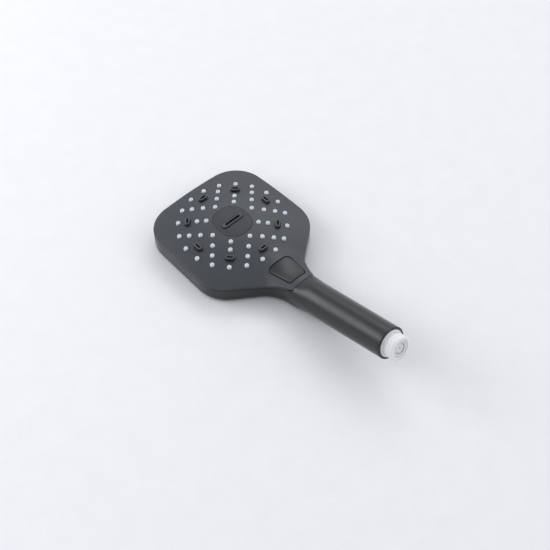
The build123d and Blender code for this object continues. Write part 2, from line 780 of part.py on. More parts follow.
# Plunger: hollow rod under the button, over the rotor's stem
with BuildPart() as plunger:
    with Locations((0, button_y, plunger_top)):
        Cylinder(plunger_head_radius, plunger_head_height, align=hung)
        Cylinder(plunger_radius, plunger_top - plunger_bottom, align=hung)
    with Locations((0, button_y, plunger_bottom)):
        Cylinder(plunger_radius - plunger_wall, plunger_head_bottom - plunger_bottom, align=on_floor,
                 mode=Mode.SUBTRACT)
plunger.part.label = "plunger"
export_step(plunger.part, "parts/plunger.step")

# Plunger seal: O-ring in the cap's guide
with BuildPart() as plunger_seal:
    add(seal_ring(Plane(origin=(0, button_y, plunger_seal_height)), plunger_radius + fit_clearance / 2,
                  plunger_radius + fit_clearance + small_seal_depth))
plunger_seal.part.label = "plunger_seal"
export_step(plunger_seal.part, "parts/plunger_seal.step")

# Button spring: pushes the plunger and the button back up
button_coil_height = plunger_head_bottom - cap_top - 2 * (button_spring_wire + seal_clearance)
with BuildPart() as button_spring:
    with BuildLine() as button_coil:
        Helix(
            button_coil_height / button_spring_turns, button_coil_height, button_spring_radius,
            center=(0, button_y, cap_top + button_spring_wire + seal_clearance),
        )
    with BuildSketch(Plane(button_coil.line @ 0, z_dir=button_coil.line % 0)):
        Circle(button_spring_wire)
    sweep(is_frenet=True)
button_spring.part.label = "button_spring"
export_step(button_spring.part, "parts/button_spring.step")

# Waterway tube: inner pipe of the handle
with BuildPart() as waterway_tube:
    turned([(tube_bore, 0), (tube_radius, 0), (tube_radius, collar_back), (tube_bore, collar_back)],
           handle_section, handle_axis)
waterway_tube.part.label = "waterway_tube"
export_step(waterway_tube.part, "parts/waterway_tube.step")

# Tube seal: O-ring between the selector's spigot and the tube
with BuildPart() as tube_seal:
    add(seal_ring(along_handle(spigot_length / 2), spigot_radius - seal_depth, tube_bore))
tube_seal.part.label = "tube_seal"
export_step(tube_seal.part, "parts/tube_seal.step")

# Groove of the inlet's pipe thread, about the Z axis
thread_depth = thread_radius - thread_root_radius
groove_half = (thread_pitch - thread_land) / 2
groove_change = thread_depth * tan(radians(thread_flank))
with BuildPart() as thread_groove:
    with BuildLine() as thread_path:
        Helix(thread_pitch, thread_turns * thread_pitch, thread_radius)
    with BuildSketch(Plane(origin=(thread_radius, 0, 0), x_dir=(1, 0, 0), z_dir=thread_path.line % 0)):
        with BuildLine():
            Polyline(
                (-thread_depth, groove_half - groove_change), (-thread_depth, groove_change - groove_half),
                (thread_depth, -groove_half - groove_change), (thread_depth, groove_half + groove_change),
                close=True,
            )
        make_face()
    sweep(is_frenet=True)

# Inlet connector: white threaded end with its collar in the handle and its spigot in the tube
with BuildPart() as inlet_connector:
    turned(
        [(spigot_bore, collar_back - spigot_length), (spigot_radius, collar_back - spigot_length),
         (spigot_radius, collar_back), (connector_radius, collar_back), (connector_radius, collar_end),
         (thread_root_radius, collar_end), (thread_root_radius, collar_end + thread_relief),
         (thread_radius, collar_end + thread_relief), (thread_radius, inlet_end - inlet_chamfer),
         (thread_radius - inlet_chamfer, inlet_end), (mouth_radius, inlet_end), (mouth_radius, mouth_back),
         (spigot_bore, mouth_back)],
        handle_section, handle_axis,
    )
    ring_run(along_handle(collar_back - spigot_length / 2), spigot_radius - seal_depth, tube_radius,
             seal_width, mode=Mode.SUBTRACT)
    ring_run(along_handle(clip_front - clip_width / 2), connector_radius - clip_bite, handle_radius,
             clip_width, mode=Mode.SUBTRACT)
    add(along_handle(handle_length + thread_start) * thread_groove.part, mode=Mode.SUBTRACT)
inlet_connector.part.label = "inlet_connector"
export_step(inlet_connector.part, "parts/inlet_connector.step")

# Connector seal: O-ring between the connector's spigot and the tube
with BuildPart() as connector_seal:
    add(seal_ring(along_handle(collar_back - spigot_length / 2), spigot_radius - seal_depth, tube_bore))
connector_seal.part.label = "connector_seal"
export_step(connector_seal.part, "parts/connector_seal.step")

# Connector clip: open snap ring between the connector's collar and the handle
with BuildPart() as connector_clip:
    ring_run(along_handle(clip_front - clip_width / 2), connector_radius - clip_bite + fit_clearance,
             handle_bore + clip_bite - fit_clearance, clip_width)
    with BuildSketch(along_handle(clip_front - clip_width)):
        with Locations((0, -handle_bore)):
            Rectangle(clip_gap, handle_bore)
    extrude(amount=clip_width, mode=Mode.SUBTRACT)
connector_clip.part.label = "connector_clip"
export_step(connector_clip.part, "parts/connector_clip.step")

# Check valve body: grey ring with the valve's seat and guide, in the mouth of the connector
with BuildPart() as check_valve_body:
    turned(
        [(valve_guide_radius, mouth_back + valve_foot), (valve_foot_radius, mouth_back + valve_foot),
         (valve_foot_radius, mouth_back), (valve_radius, mouth_back), (valve_radius, valve_front),
         (valve_seat_radius, valve_front), (valve_seat_radius, valve_room_front),
         (valve_room_radius, valve_room_front), (valve_room_radius, valve_room_back),
         (valve_guide_radius, valve_room_back)],
        handle_section, handle_axis,
    )
    with BuildSketch(along_handle(mouth_back)):
        with PolarLocations(valve_window_ring, 4):
            Circle(valve_window_radius)
    extrude(amount=valve_room_front - mouth_back, mode=Mode.SUBTRACT)
    ring_run(along_handle((valve_front + valve_room_front) / 2), valve_radius - seal_depth, thread_radius,
             seal_width, mode=Mode.SUBTRACT)
check_valve_body.part.label = "check_valve_body"
export_step(check_valve_body.part, "parts/check_valve_body.step")

# Check valve seal: O-ring between the valve and the connector
with BuildPart() as check_valve_seal:
    seal_plane = along_handle((valve_front + valve_room_front) / 2)
    add(seal_ring(seal_plane, valve_radius - seal_depth, mouth_radius))
check_valve_seal.part.label = "check_valve_seal"
export_step(check_valve_seal.part, "parts/check_valve_seal.step")

# Check valve poppet: disc behind the seat, with a nose through it and a guided stem
with BuildPart() as check_valve_poppet:
    stem_back = mouth_back + valve_foot - poppet_stem_reach
    nose_front = poppet_disc_front + poppet_nose_length
    turned(
        [(0, stem_back), (poppet_stem_radius, stem_back),
         (poppet_stem_radius, poppet_disc_back), (poppet_disc_radius, poppet_disc_back),
         (poppet_disc_radius, poppet_disc_front), (poppet_nose_radius, poppet_disc_front),
         (poppet_nose_radius, nose_front), (poppet_dimple_radius, nose_front),
         (poppet_dimple_radius, nose_front - poppet_dimple_depth), (0, nose_front - poppet_dimple_depth)],
        handle_section, handle_axis,
    )
check_valve_poppet.part.label = "check_valve_poppet"
export_step(check_valve_poppet.part, "parts/check_valve_poppet.step")

# Check valve spring: closes the poppet against its seat
valve_coil_height = poppet_disc_back - valve_room_back - 2 * (valve_spring_wire + seal_clearance)
with BuildPart() as check_valve_spring:
    with BuildLine() as valve_coil:
        Helix(
            valve_coil_height / valve_spring_turns, valve_coil_height, valve_spring_radius,
            center=along_handle(valve_room_back + valve_spring_wire + seal_clearance).origin,
            direction=handle_axis.direction,
        )
    with BuildSketch(Plane(valve_coil.line @ 0, z_dir=valve_coil.line % 0)):
        Circle(valve_spring_wire)
    sweep(is_frenet=True)
check_valve_spring.part.label = "check_valve_spring"
export_step(check_valve_spring.part, "parts/check_valve_spring.step")
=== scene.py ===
import json
from math import cos, pi, radians, sin, tan

import bmesh
import bpy
import numpy as np
from mathutils import Matrix, Vector
from mathutils.geometry import delaunay_2d_cdt


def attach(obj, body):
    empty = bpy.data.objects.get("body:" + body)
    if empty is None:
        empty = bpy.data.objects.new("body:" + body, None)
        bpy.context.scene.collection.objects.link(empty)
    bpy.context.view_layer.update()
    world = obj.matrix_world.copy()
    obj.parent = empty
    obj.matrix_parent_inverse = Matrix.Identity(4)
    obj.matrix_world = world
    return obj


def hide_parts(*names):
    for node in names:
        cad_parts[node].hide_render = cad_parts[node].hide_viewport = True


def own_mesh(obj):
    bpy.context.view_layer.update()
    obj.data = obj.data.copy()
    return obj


# Handheld shower head on its back. Shapes are worked out in millimetres, in the frame of the solids, and set into
# the meshes in metres.

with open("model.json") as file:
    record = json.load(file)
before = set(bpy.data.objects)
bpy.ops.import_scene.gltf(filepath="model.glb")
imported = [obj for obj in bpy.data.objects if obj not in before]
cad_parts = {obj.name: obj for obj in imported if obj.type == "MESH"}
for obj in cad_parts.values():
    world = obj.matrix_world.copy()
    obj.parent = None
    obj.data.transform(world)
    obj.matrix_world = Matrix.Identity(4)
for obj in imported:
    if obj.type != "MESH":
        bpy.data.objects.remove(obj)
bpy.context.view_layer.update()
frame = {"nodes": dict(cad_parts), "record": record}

# In metres: a millimetre, the reach of the weld and the longest edge that counts as none
MM = 0.001
WELD = 2e-6
SLIVER = 1e-7

# Head outline and spray face
HEAD_HALF_WIDTH = 57.5
SIDE_SPREAD = radians(1.6)
FAR_EDGE = 56.6
CORNER_RADIUS = 28.5
SHOULDER_Y = -38.2
SHOULDER_ANGLE = radians(36.5)
SHOULDER_RADIUS = 30.7
NECK_HALF_WIDTH = 14.2
NECK_STRAIGHT = 1.0
SEAM_Y = -87.0
FACE_HEIGHT = 27.5
FACE_RADIUS = 193.8
CORNER_LIFT = 2.0
NECK_HEIGHT = 26.0
NECK_SLOPE = radians(5.0)
NECK_CROWN = 30.0
NECK_SOFTNESS = 3.0
BACK_ROUNDING = 4.7
NECK_ROUNDING = 6.5
NECK_LIFT_Y = -72.0
NECK_LIFT = 1.45
BACK_MIDDLE_Y = 22.0
WALL = 2.4
PLATE = 2.4

# Seams, roundings of the edges, and the points beside them that keep their shading off the face
SEAM_GAP = 0.3
SIDE_SEAM = 0.35
SHELL_EDGE = 0.2
PLATE_EDGE = 0.35
SEAM_CORNER = 6.0
SEAM_DEPTH = 0.7
SOFT_EDGE_Y = -68.0
SEAM_EDGE = 0.25
UNDER_EDGE = 0.15
HOLE_EDGE = 0.22
BESIDE = 0.35
CORNER_SHARE = 0.45

# Handle and inlet: distances along the handle's axis, from the seam
TILT = radians(14.9)
AXIS_HEIGHT = 13.07
HANDLE_RADIUS = 14.3
HANDLE_END_RADIUS = 13.85
HANDLE_LENGTH = 101.0
HANDLE_BORE = 11.8
BORE_SUPPORT = 6.0
NECK_LENGTH = 21.0
NECK_RISE = radians(10.5)
RIM_EDGE = 0.7
COLLAR_RADIUS = 11.7
COLLAR_BACK = 88.0
COLLAR_END = 101.5
COLLAR_FACE = 0.6
COLLAR_RELIEF = 1.4
COLLAR_EDGE = 0.25
THREAD_BEGIN = 103.9
THREAD_LEAD = 0.4
THREAD_RADIUS = 10.4775
THREAD_ROOT = 9.3155
THREAD_PITCH = 1.814
CREST_ROUNDNESS = 1.6
INLET_CHAMFER = 0.8
INLET_END = 111.2
INLET_SOFT = 0.1
MOUTH_RADIUS = 7.8
MOUTH_BACK = 96.0
MOUTH_EDGE = 0.3
SPIGOT_BORE = 3.9

# Non-return valve
VALVE_RADIUS = 7.7
VALVE_FRONT = 110.8
VALVE_EDGE = 0.3
VALVE_SEAT = 4.65
VALVE_ROOM = 6.3
VALVE_ROOM_FRONT = 107.6
VALVE_ROOM_BACK = 99.2
VALVE_GUIDE = 1.35
VALVE_FOOT = 97.6
NOSE_RADIUS = 4.05
NOSE_FRONT = 110.2
DISC_RADIUS = 5.7
DISC_FRONT = 107.5
DISC_BACK = 106.0
STEM_RADIUS = 1.2
STEM_BACK = 97.1
DIMPLE_RADIUS = 0.9
DIMPLE_DEPTH = 1.0
POPPET_EDGE = 0.25

# Return springs of the valve and of the button, and where the button's spring stands, with its foot and its top
VALVE_SPRING_RADIUS = 3.0
VALVE_SPRING_WIRE = 0.3
VALVE_SPRING_TURNS = 4
BUTTON_SPRING_RADIUS = 5.5
BUTTON_SPRING_WIRE = 0.25
BUTTON_SPRING_TURNS = 2
BUTTON_SPRING_Y = -69.3
BUTTON_SPRING_FOOT = 13.73
BUTTON_SPRING_TOP = 19.56

# Nozzles: each ring of rain tips has a radius, a number of tips and the place of its first tip in degrees
RING_RADIUS = 46.7
FAN_RING = 38.8
INNER_RING = 30.3
CENTRE_RING = 22.3
RAIN_RINGS = ((RING_RADIUS, 20, 45), (FAN_RING, 8, 22.5), (INNER_RING, 12, 45), (CENTRE_RING, 8, 0))
FAN_COUNT = 8
TIP_BASE = 2.1
TIP_RADIUS = 1.75
TIP_PROUD = 1.3
TIP_BORE = 0.38
TIP_WAIST = 0.1
TIP_WAIST_HEIGHT = 0.2
TIP_FOOT = 0.4
TIP_EDGE = 0.35
FAN_LENGTH = 8.4
FAN_WIDTH = 4.3
FAN_PROUD = 2.5
FAN_EDGE = 0.25
FAN_SLOT_LENGTH = 6.4
FAN_SLOT_WIDTH = 2.0
FAN_LAND = 0.9
FAN_LIP_EDGE = 0.1
FAN_LIP = 0.3
FAN_ROOM = 0.6
FAN_ROOM_DEPTH = 0.8
FAN_FOOT = 0.8
MAT_RADIUS = 50.3
MAT_DEPTH = 4.0
MAT_GAP = 0.05
JET_LENGTH = 22.6
JET_WIDTH = 5.4
JET_PROUD = 0.9
JET_SLOPE = 1.1
JET_LAND = 0.9
JET_LIP = 0.35
JET_LIP_EDGE = JET_LIP / 3
JET_ROOM = 0.7
JET_SLOT_LENGTH = 15.8
JET_SLOT_WIDTH = 2.6
JET_FLANGE = 18.9
JET_FLANGE_MIDDLE = 0.01
CENTRE_WIDTH = 30.8
CENTRE_LENGTH = 34.2
CENTRE_CORNER = 13.5
CENTRE_SEAM = 0.14
FIT = 0.1

# Button
BUTTON_HEAD_Y = -56.5
BUTTON_HANDLE_Y = -81.2
BUTTON_HEAD_HALF = 12.4
BUTTON_HANDLE_HALF = 8.6
BUTTON_HEAD_CORNER = 4.2
BUTTON_HANDLE_CORNER = 2.4
BUTTON_GAP = 0.5
BUTTON_SHRINK = 0.25
BUTTON_EDGE = 0.35
BUTTON_DEPTH = 3.9
DISH_DEPTH = 1.6
DISH_STEEPNESS = 10

# Fineness of the meshes: steps in millimetres, then numbers of steps, rows, points and sides
OUTLINE_STEP = 1.6
BUTTON_STEP = 0.6
CENTRE_STEP = 0.8
GRID_STEP = 2.0
GRID_REACH = 60.0
GRID_CLEAR = 0.7 * GRID_STEP
GRID_PARTS = 16
SAME_POINT = 1e-6
ARC_STEPS = 6
ARC_FINENESS = 1.5
SMALL_EDGE_STEPS = 4
EDGE_STEPS = 5
RIM_STEPS = 6
RIDGE_STEPS = 8
TIP_EDGE_STEPS = 3
BACK_ROWS = 8
CORNER_ROWS = 11
WALL_ROWS = 21
NECK_ROWS = 30
HANDLE_ROWS = 26
PLATE_SIDE_ROWS = 9
MAT_ROWS = 12
CENTRE_ROWS = 14
DISH_ROWS = 60
THREAD_ROWS = 100
SEAM_EDGE_POINTS = 11
CROWN_POINTS = 14
END_POINTS = 25
TIP_SIDES = 20
FAN_SIDES = 12
JET_SIDES = 16
MAT_SIDES = 96
INLET_SIDES = 96
VALVE_SIDES = 72
GUIDE_SIDES = 48
POPPET_SIDES = 64
COIL_SIDES = 40
WIRE_SIDES = 10


def face_height(x, y):
    """Height of the spray face: the larger of a dome and the crowned top of the neck, joined softly."""
    dome = FACE_HEIGHT - (x * x + y * y) / (2 * FACE_RADIUS) + CORNER_LIFT * (x * y / RING_RADIUS**2) ** 2
    neck = NECK_HEIGHT - (y - SEAM_Y) * tan(NECK_SLOPE) - x * x / (2 * NECK_CROWN)
    return (dome + neck + np.sqrt((dome - neck) ** 2 + NECK_SOFTNESS**2)) / 2


def straight(start, end, step):
    """Points from start to end, about a step apart."""
    count = max(1, int(np.ceil(np.linalg.norm(end - start) / step)))
    return start + (end - start) * np.linspace(0, 1, count + 1)[:, None]


def rounded_path(corners, radii, step):
    """Points along straight runs whose inner corners are arcs of the given radii, about a step apart."""
    corners = np.array(corners, float)
    runs = [corners[:1]]
    start = corners[0]
    for before, corner, after, radius in zip(corners[:-2], corners[1:-1], corners[2:], radii):
        back = (before - corner) / np.linalg.norm(before - corner)
        ahead = (after - corner) / np.linalg.norm(after - corner)
        half = np.arccos(np.clip(back @ ahead, -1, 1)) / 2
        first = corner + back * radius / tan(half)
        last = corner + ahead * radius / tan(half)
        middle = corner + (back + ahead) / np.linalg.norm(back + ahead) * radius / sin(half)
        turn = pi - 2 * half
        count = max(ARC_STEPS, int(np.ceil(turn * radius / step * ARC_FINENESS)))
        share = np.linspace(0, 1, count + 1)[1:, None]
        arc = (np.sin((1 - share) * turn) * (first - middle) + np.sin(share * turn) * (last - middle)) / sin(turn)
        runs += [straight(start, first, step)[1:], middle + arc]
        start = last
    runs.append(straight(start, corners[-1], step)[1:])
    return np.concatenate(runs)


def mirrored(half):
    """A path from the middle line to the right, made whole: from its left end over the middle to the right."""
    return np.concatenate([(half[::-1] * (-1, 1))[:-1], half])


def ring_loop(half):
    """A path from the middle line round the right to the middle line again, closed by its mirror image."""
    return np.concatenate([half, (half * (-1, 1))[-2:0:-1]])


def stadium(length, width, sides):
    """Closed loop of a slot along X: two half circles and the straight runs between them."""
    turn = np.linspace(-pi / 2, pi / 2, sides + 1)
    right = np.stack([np.cos(turn), np.sin(turn)], 1) * width / 2 + ((length - width) / 2, 0)
    return np.concatenate([right, -right])


def middle_line(loop, length, width):
    """Points on the middle line of a slot along X, one for each point of a loop around it."""
    reach = (length - width) / 2
    return np.stack([np.clip(loop[:, 0], -reach, reach), 0 * loop[:, 0]], 1)


def on_slot(loop, length, width):
    """Points of a slot along X, one for each point of a loop around it: the nearest on the slot's outline."""
    core = middle_line(loop, length, width)
    away = loop - core
    return core + away / np.linalg.norm(away, axis=1, keepdims=True) * width / 2


def lens(length, width, like):
    """Lens of two arcs, with one point for each point of another loop along X."""
    x = like[:, 0] / np.abs(like[:, 0]).max() * length / 2
    radius = (length**2 / width + width) / 4
    y = np.sqrt(radius**2 - x**2) - radius + width / 2
    return np.stack([x, y * np.sign(like[:, 1])], 1)


def placed(loop, angle, place):
    """A loop along X, turned by an angle and set at a place."""
    turn = np.array([[cos(angle), sin(angle)], [-sin(angle), cos(angle)]])
    return loop @ turn + place


def inward(path, closed):
    """Unit normals of a plane path on its right-hand side, from the runs on both sides of each point."""
    if closed:
        run = np.roll(path, -1, 0) - np.roll(path, 1, 0)
    else:
        run = np.gradient(path, axis=0)
    run = run / np.linalg.norm(run, axis=1, keepdims=True)
    return np.stack([run[:, 1], -run[:, 0]], 1)


def inside(points, loop):
    """Which points lie inside a closed loop, from its crossings to the right of each."""
    x, y = points[:, :1], points[:, 1:]
    ahead = np.roll(loop, -1, 0)
    spans = (loop[:, 1] > y) != (ahead[:, 1] > y)
    rise = np.where(ahead[:, 1] == loop[:, 1], 1, ahead[:, 1] - loop[:, 1])
    reach = loop[:, 0] + (y - loop[:, 1]) / rise * (ahead[:, 0] - loop[:, 0])
    return (spans & (x < reach)).sum(1) % 2 == 1


def ring_places(radius, count, start):
    """Places on one nozzle ring."""
    turn = radians(start) + np.arange(count) * 2 * pi / count
    return radius * np.stack([np.cos(turn), np.sin(turn)], 1)


def quads(rows, columns, closed):
    """Faces of a grid of rows times columns points; closed joins the last column to the first."""
    r = np.arange(rows - 1)[:, None] * columns
    c = np.arange(columns if closed else columns - 1)[None, :]
    n = (c + 1) % columns
    return np.stack([r + c, r + n, r + columns + n, r + columns + c], -1).reshape(-1, 4).tolist()


def sheet(rows, closed=True, first_cap=False, last_cap=False):
    """A grid of points as one shape, with a face over its first or last row where that is asked for."""
    rows = np.asarray(rows, float)
    count, columns = rows.shape[:2]
    faces = quads(count, columns, closed)
    if first_cap:
        faces.append(list(range(columns)))
    if last_cap:
        faces.append(list(range((count - 1) * columns, count * columns)))
    return rows.reshape(-1, 3), faces


def joined(shapes):
    """Several shapes as one list of points and one list of faces."""
    faces, count = [], 0
    for points, polygons in shapes:
        faces += [[i + count for i in polygon] for polygon in polygons]
        count += len(points)
    return np.concatenate([points for points, polygons in shapes]), faces


def at_height(plan, height):
    """Points of a plan, set at a height."""
    return np.concatenate([plan, np.broadcast_to(height, len(plan))[:, None]], 1)


def on_face(plan, depth):
    """Points of a plan, set a depth below the spray face."""
    return at_height(plan, face_height(plan[:, 0], plan[:, 1]) - depth)


def rim_rows(loop, normals, section):
    """Rows round a loop on the face: each (shift, depth) of the section moves it along its normals and down."""
    return [on_face(loop + normals * shift, depth) for shift, depth in section]


def quarter(steps):
    """Shares (out, down) of a quarter circle, from level to upright."""
    turn = np.linspace(0, pi / 2, steps + 1)
    return list(zip(np.sin(turn).tolist(), (1 - np.cos(turn)).tolist()))


def turned(profile, sides, centre=(0, 0, 0), across=(1, 0, 0), up=(0, 1, 0), ahead=(0, 0, 1)):
    """Rows of a turned surface: each (radius, distance) of the profile is a ring about the axis ahead."""
    turn = np.linspace(0, 2 * pi, sides, endpoint=False)[:, None]
    ring = np.cos(turn) * np.array(across, float) + np.sin(turn) * np.array(up, float)
    profile = np.array(profile, float)
    axis = np.array(centre, float) + profile[:, 1:] * np.array(ahead, float)
    return axis[:, None, :] + profile[:, :1, None] * ring[None]


def coil(radius, wire, turns, length, centre=(0, 0, 0), across=(1, 0, 0), up=(0, 1, 0), ahead=(0, 0, 1)):
    """Wire of a spring on its helix, radius * (cos t, sin t) about an axis that it climbs evenly to its length,
    with a round section across the wire's own direction."""
    across, up, ahead = np.array(across, float), np.array(up, float), np.array(ahead, float)
    turn = np.linspace(0, 2 * pi * turns, int(COIL_SIDES * turns) + 1)[:, None]
    ring = np.cos(turn) * across + np.sin(turn) * up
    climb = length / (2 * pi * turns)
    side = np.cross(radius * (np.cos(turn) * up - np.sin(turn) * across) + climb * ahead, ring)
    side = side / np.linalg.norm(side, axis=1, keepdims=True)
    path = np.array(centre, float) + radius * ring + climb * turn * ahead
    section = np.linspace(0, 2 * pi, WIRE_SIDES, endpoint=False)[:, None]
    return sheet(
        path[:, None] + wire * (np.cos(section) * ring[:, None] + np.sin(section) * side[:, None]),
        first_cap=True, last_cap=True,
    )


def softened(profile, radius, steps=SMALL_EDGE_STEPS):
    """A profile whose inner corners are rounded by quadratic curves that start a radius before each corner, or at
    the corner's share of a short run."""
    profile = np.array(profile, float)
    runs = [profile[:1]]
    for before, corner, after in zip(profile[:-2], profile[1:-1], profile[2:]):
        back, ahead = before - corner, after - corner
        first = corner + back * min(radius / np.linalg.norm(back), CORNER_SHARE)
        last = corner + ahead * min(radius / np.linalg.norm(ahead), CORNER_SHARE)
        w = np.linspace(0, 1, steps + 1)[:, None]
        runs.append((1 - w) ** 2 * first + 2 * w * (1 - w) * corner + w**2 * last)
    return np.concatenate(runs + [profile[-1:]])


def piece(name, shape, material, body, slot, *replaced):
    """One piece of the object from points in millimetres: welded, faces outwards, smooth, on its body."""
    points, faces = shape
    mesh = bpy.data.meshes.new(name)
    mesh.from_pydata((points * MM).tolist(), [], faces)
    work = bmesh.new()
    work.from_mesh(mesh)
    bmesh.ops.remove_doubles(work, verts=work.verts, dist=WELD)
    bmesh.ops.dissolve_degenerate(work, edges=work.edges, dist=SLIVER)
    bmesh.ops.recalc_face_normals(work, faces=work.faces)
    work.to_mesh(mesh)
    work.free()
    mesh.polygons.foreach_set("use_smooth", np.ones(len(mesh.polygons), bool))
    mesh.materials.append(material)
    made = bpy.data.objects.new(name, mesh)
    bpy.context.scene.collection.objects.link(made)
    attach(made, body)
    if replaced:
        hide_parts(*replaced)
    return made


# Materials. The polymers share the drift of the tone in millimetres, the sums of both noises that give the dark
# and the light tone, the spread of the roughness, the strength of the grain and the roughness of the sheen. The
# steel has the distance of its lines in millimetres and its roughness on and between them.
TONE_DRIFT = 20.0
DARK_SUM = 0.7
LIGHT_SUM = 1.3
GLOSS_SPREAD = 0.05
GRAIN_STRENGTH = 0.5
SHEEN_ROUGHNESS = 0.3
STEEL_LINES = 0.1
STEEL_SMOOTH = 0.22
STEEL_ROUGH = 0.42


def linear(code):
    """An sRGB hex colour as linear RGBA."""
    parts = np.array([int(code[i:i + 2], 16) for i in (1, 3, 5)]) / 255
    parts = np.where(parts <= 0.04045, parts / 12.92, ((parts + 0.055) / 1.055) ** 2.4)
    return (*parts.tolist(), 1.0)


def add(tree, kind, inputs=None, **settings):
    """Adds a node with its settings; each input is linked where a socket is given and set where a value is."""
    made = tree.nodes.new(kind)
    for key, value in settings.items():
        setattr(made, key, value)
    for key, value in (inputs or {}).items():
        if isinstance(value, bpy.types.NodeSocket):
            tree.links.new(value, made.inputs[key])
        else:
            made.inputs[key].default_value = value
    return made


def moulded(name, light, dark, roughness, grain, depth, ior=1.53, sheen=0.0):
    """A moulded polymer: two tones that drift over some 20 mm, a fine skin grain that gives the bump, a roughness
    that varies with both, and where asked for a sheen that pales its edges. Grain and depth in millimetres."""
    material = bpy.data.materials.new(name)
    material.use_nodes = True
    tree = material.node_tree
    shader = tree.nodes["Principled BSDF"]
    place = add(tree, "ShaderNodeTexCoord").outputs["Object"]
    drift = add(tree, "ShaderNodeTexNoise", {"Vector": place, "Scale": 1 / (TONE_DRIFT * MM), "Detail": 3.0})
    skin = add(tree, "ShaderNodeTexNoise", {"Vector": place, "Scale": 1 / (grain * MM), "Detail": 2.0})
    both = add(tree, "ShaderNodeMath", {0: drift.outputs["Fac"], 1: skin.outputs["Fac"]}, operation="ADD")
    span = {"Value": both.outputs[0], "From Min": DARK_SUM, "From Max": LIGHT_SUM}
    share = add(tree, "ShaderNodeMapRange", span)
    tone = add(tree, "ShaderNodeMix", {0: share.outputs[0], 6: linear(dark), 7: linear(light)}, data_type="RGBA")
    ends = {"To Min": roughness - GLOSS_SPREAD, "To Max": roughness + GLOSS_SPREAD}
    gloss = add(tree, "ShaderNodeMapRange", {**span, **ends})
    relief = {"Height": skin.outputs["Fac"], "Strength": GRAIN_STRENGTH, "Distance": depth * MM}
    bump = add(tree, "ShaderNodeBump", relief)
    tree.links.new(tone.outputs[2], shader.inputs["Base Color"])
    tree.links.new(gloss.outputs[0], shader.inputs["Roughness"])
    tree.links.new(bump.outputs[0], shader.inputs["Normal"])
    shader.inputs["IOR"].default_value = ior
    shader.inputs["Sheen Weight"].default_value = sheen
    shader.inputs["Sheen Roughness"].default_value = SHEEN_ROUGHNESS
    return material


def drawn_steel(name):
    """Stainless steel wire and screws: bright metal with fine drawing lines some 0.1 mm apart."""
    material = bpy.data.materials.new(name)
    material.use_nodes = True
    tree = material.node_tree
    shader = tree.nodes["Principled BSDF"]
    place = add(tree, "ShaderNodeTexCoord").outputs["Object"]
    lines = add(tree, "ShaderNodeTexNoise", {"Vector": place, "Scale": 1 / (STEEL_LINES * MM), "Detail": 2.0})
    span = {"Value": lines.outputs["Fac"], "To Min": STEEL_SMOOTH, "To Max": STEEL_ROUGH}
    gloss = add(tree, "ShaderNodeMapRange", span)
    tree.links.new(gloss.outputs[0], shader.inputs["Roughness"])
    shader.inputs["Base Color"].default_value = linear("#c4c5c7")
    shader.inputs["Metallic"].default_value = 1.0
    return material


# ABS from a spark-eroded mould: matte charcoal with a fine grain, so its highlights are broad and its edges pale
shell_abs = moulded(
    "charcoal_abs", "#1d1f21", "#191b1d", roughness=0.36, grain=0.35, depth=0.02, ior=1.5, sheen=0.4,
)
# The same ABS with a finer grain on the front: lighter and slightly bluer
face_abs = moulded("slate_abs", "#2e333a", "#292e35", roughness=0.45, grain=0.3, depth=0.015, ior=1.58)
# ABS of the centre plate, from its own mould with a duller skin: darker than the face around it
centre_abs = moulded("centre_abs", "#24272d", "#1f2228", roughness=0.5, grain=0.3, depth=0.015, ior=1.54)
# ABS of the button, from its own mould: near the shell's tone, with a little less shine
button_abs = moulded("button_abs", "#1e2021", "#191b1c", roughness=0.38, grain=0.3, depth=0.015, ior=1.56)
# Liquid silicone rubber of the tips, moulded in one mat: pale blue-grey and satin
pale_silicone = moulded("pale_silicone", "#d2d8df", "#c8cfd7", roughness=0.5, grain=0.4, depth=0.01, ior=1.41)
# Black silicone of the slot nozzles, from a smooth mould: dark grey with a slight shine on its lips
black_silicone = moulded("black_silicone", "#34373a", "#2e3134", roughness=0.42, grain=0.4, depth=0.01, ior=1.58)
# POM of the threaded inlet, injection moulded: white and slightly waxy
white_pom = moulded("white_pom", "#f6f6f7", "#f1f1f3", roughness=0.34, grain=0.5, depth=0.006, ior=1.48)
# POM of the valve ring, injection moulded in light grey: satin
grey_pom = moulded("grey_pom", "#dee1e1", "#d6dada", roughness=0.4, grain=0.4, depth=0.006, ior=1.48)
# POM of the valve disc, injection moulded: satin, in a slightly bluer grey
disc_pom = moulded("disc_pom", "#e2e4e8", "#dadde1", roughness=0.42, grain=0.4, depth=0.006, ior=1.48)
# Uncoloured ABS of the works inside, as it comes from the mould: ivory and matte
inner_abs = moulded("natural_abs", "#cfcdc4", "#c3c1b8", roughness=0.5, grain=0.5, depth=0.01)
# Nitrile rubber of the O-rings, moulded: black and dull
nitrile = moulded("nitrile_rubber", "#1d1d1e", "#161617", roughness=0.55, grain=0.3, depth=0.01, ior=1.52)
# Stainless steel of wire and screws, drawn and rolled: bright, with fine lines
steel = drawn_steel("stainless_steel")

finishes = {
    "shell_plastic": shell_abs, "face_plastic": face_abs, "pale_silicone": pale_silicone,
    "black_silicone": black_silicone, "white_plastic": white_pom, "grey_plastic": grey_pom,
    "inner_plastic": inner_abs, "seal_rubber": nitrile, "steel": steel,
}
for entry in frame["record"]["subparts"]:
    mesh = frame["nodes"][entry["node"]].data
    mesh.materials.clear()
    mesh.materials.append(finishes[entry["material_slot"]])

# Outline of the head, from the seam on the left over the far edge to the seam on the right


def side_x(y):
    """Half width of the head along its straight sides."""
    return HEAD_HALF_WIDTH - y * tan(SIDE_SPREAD)


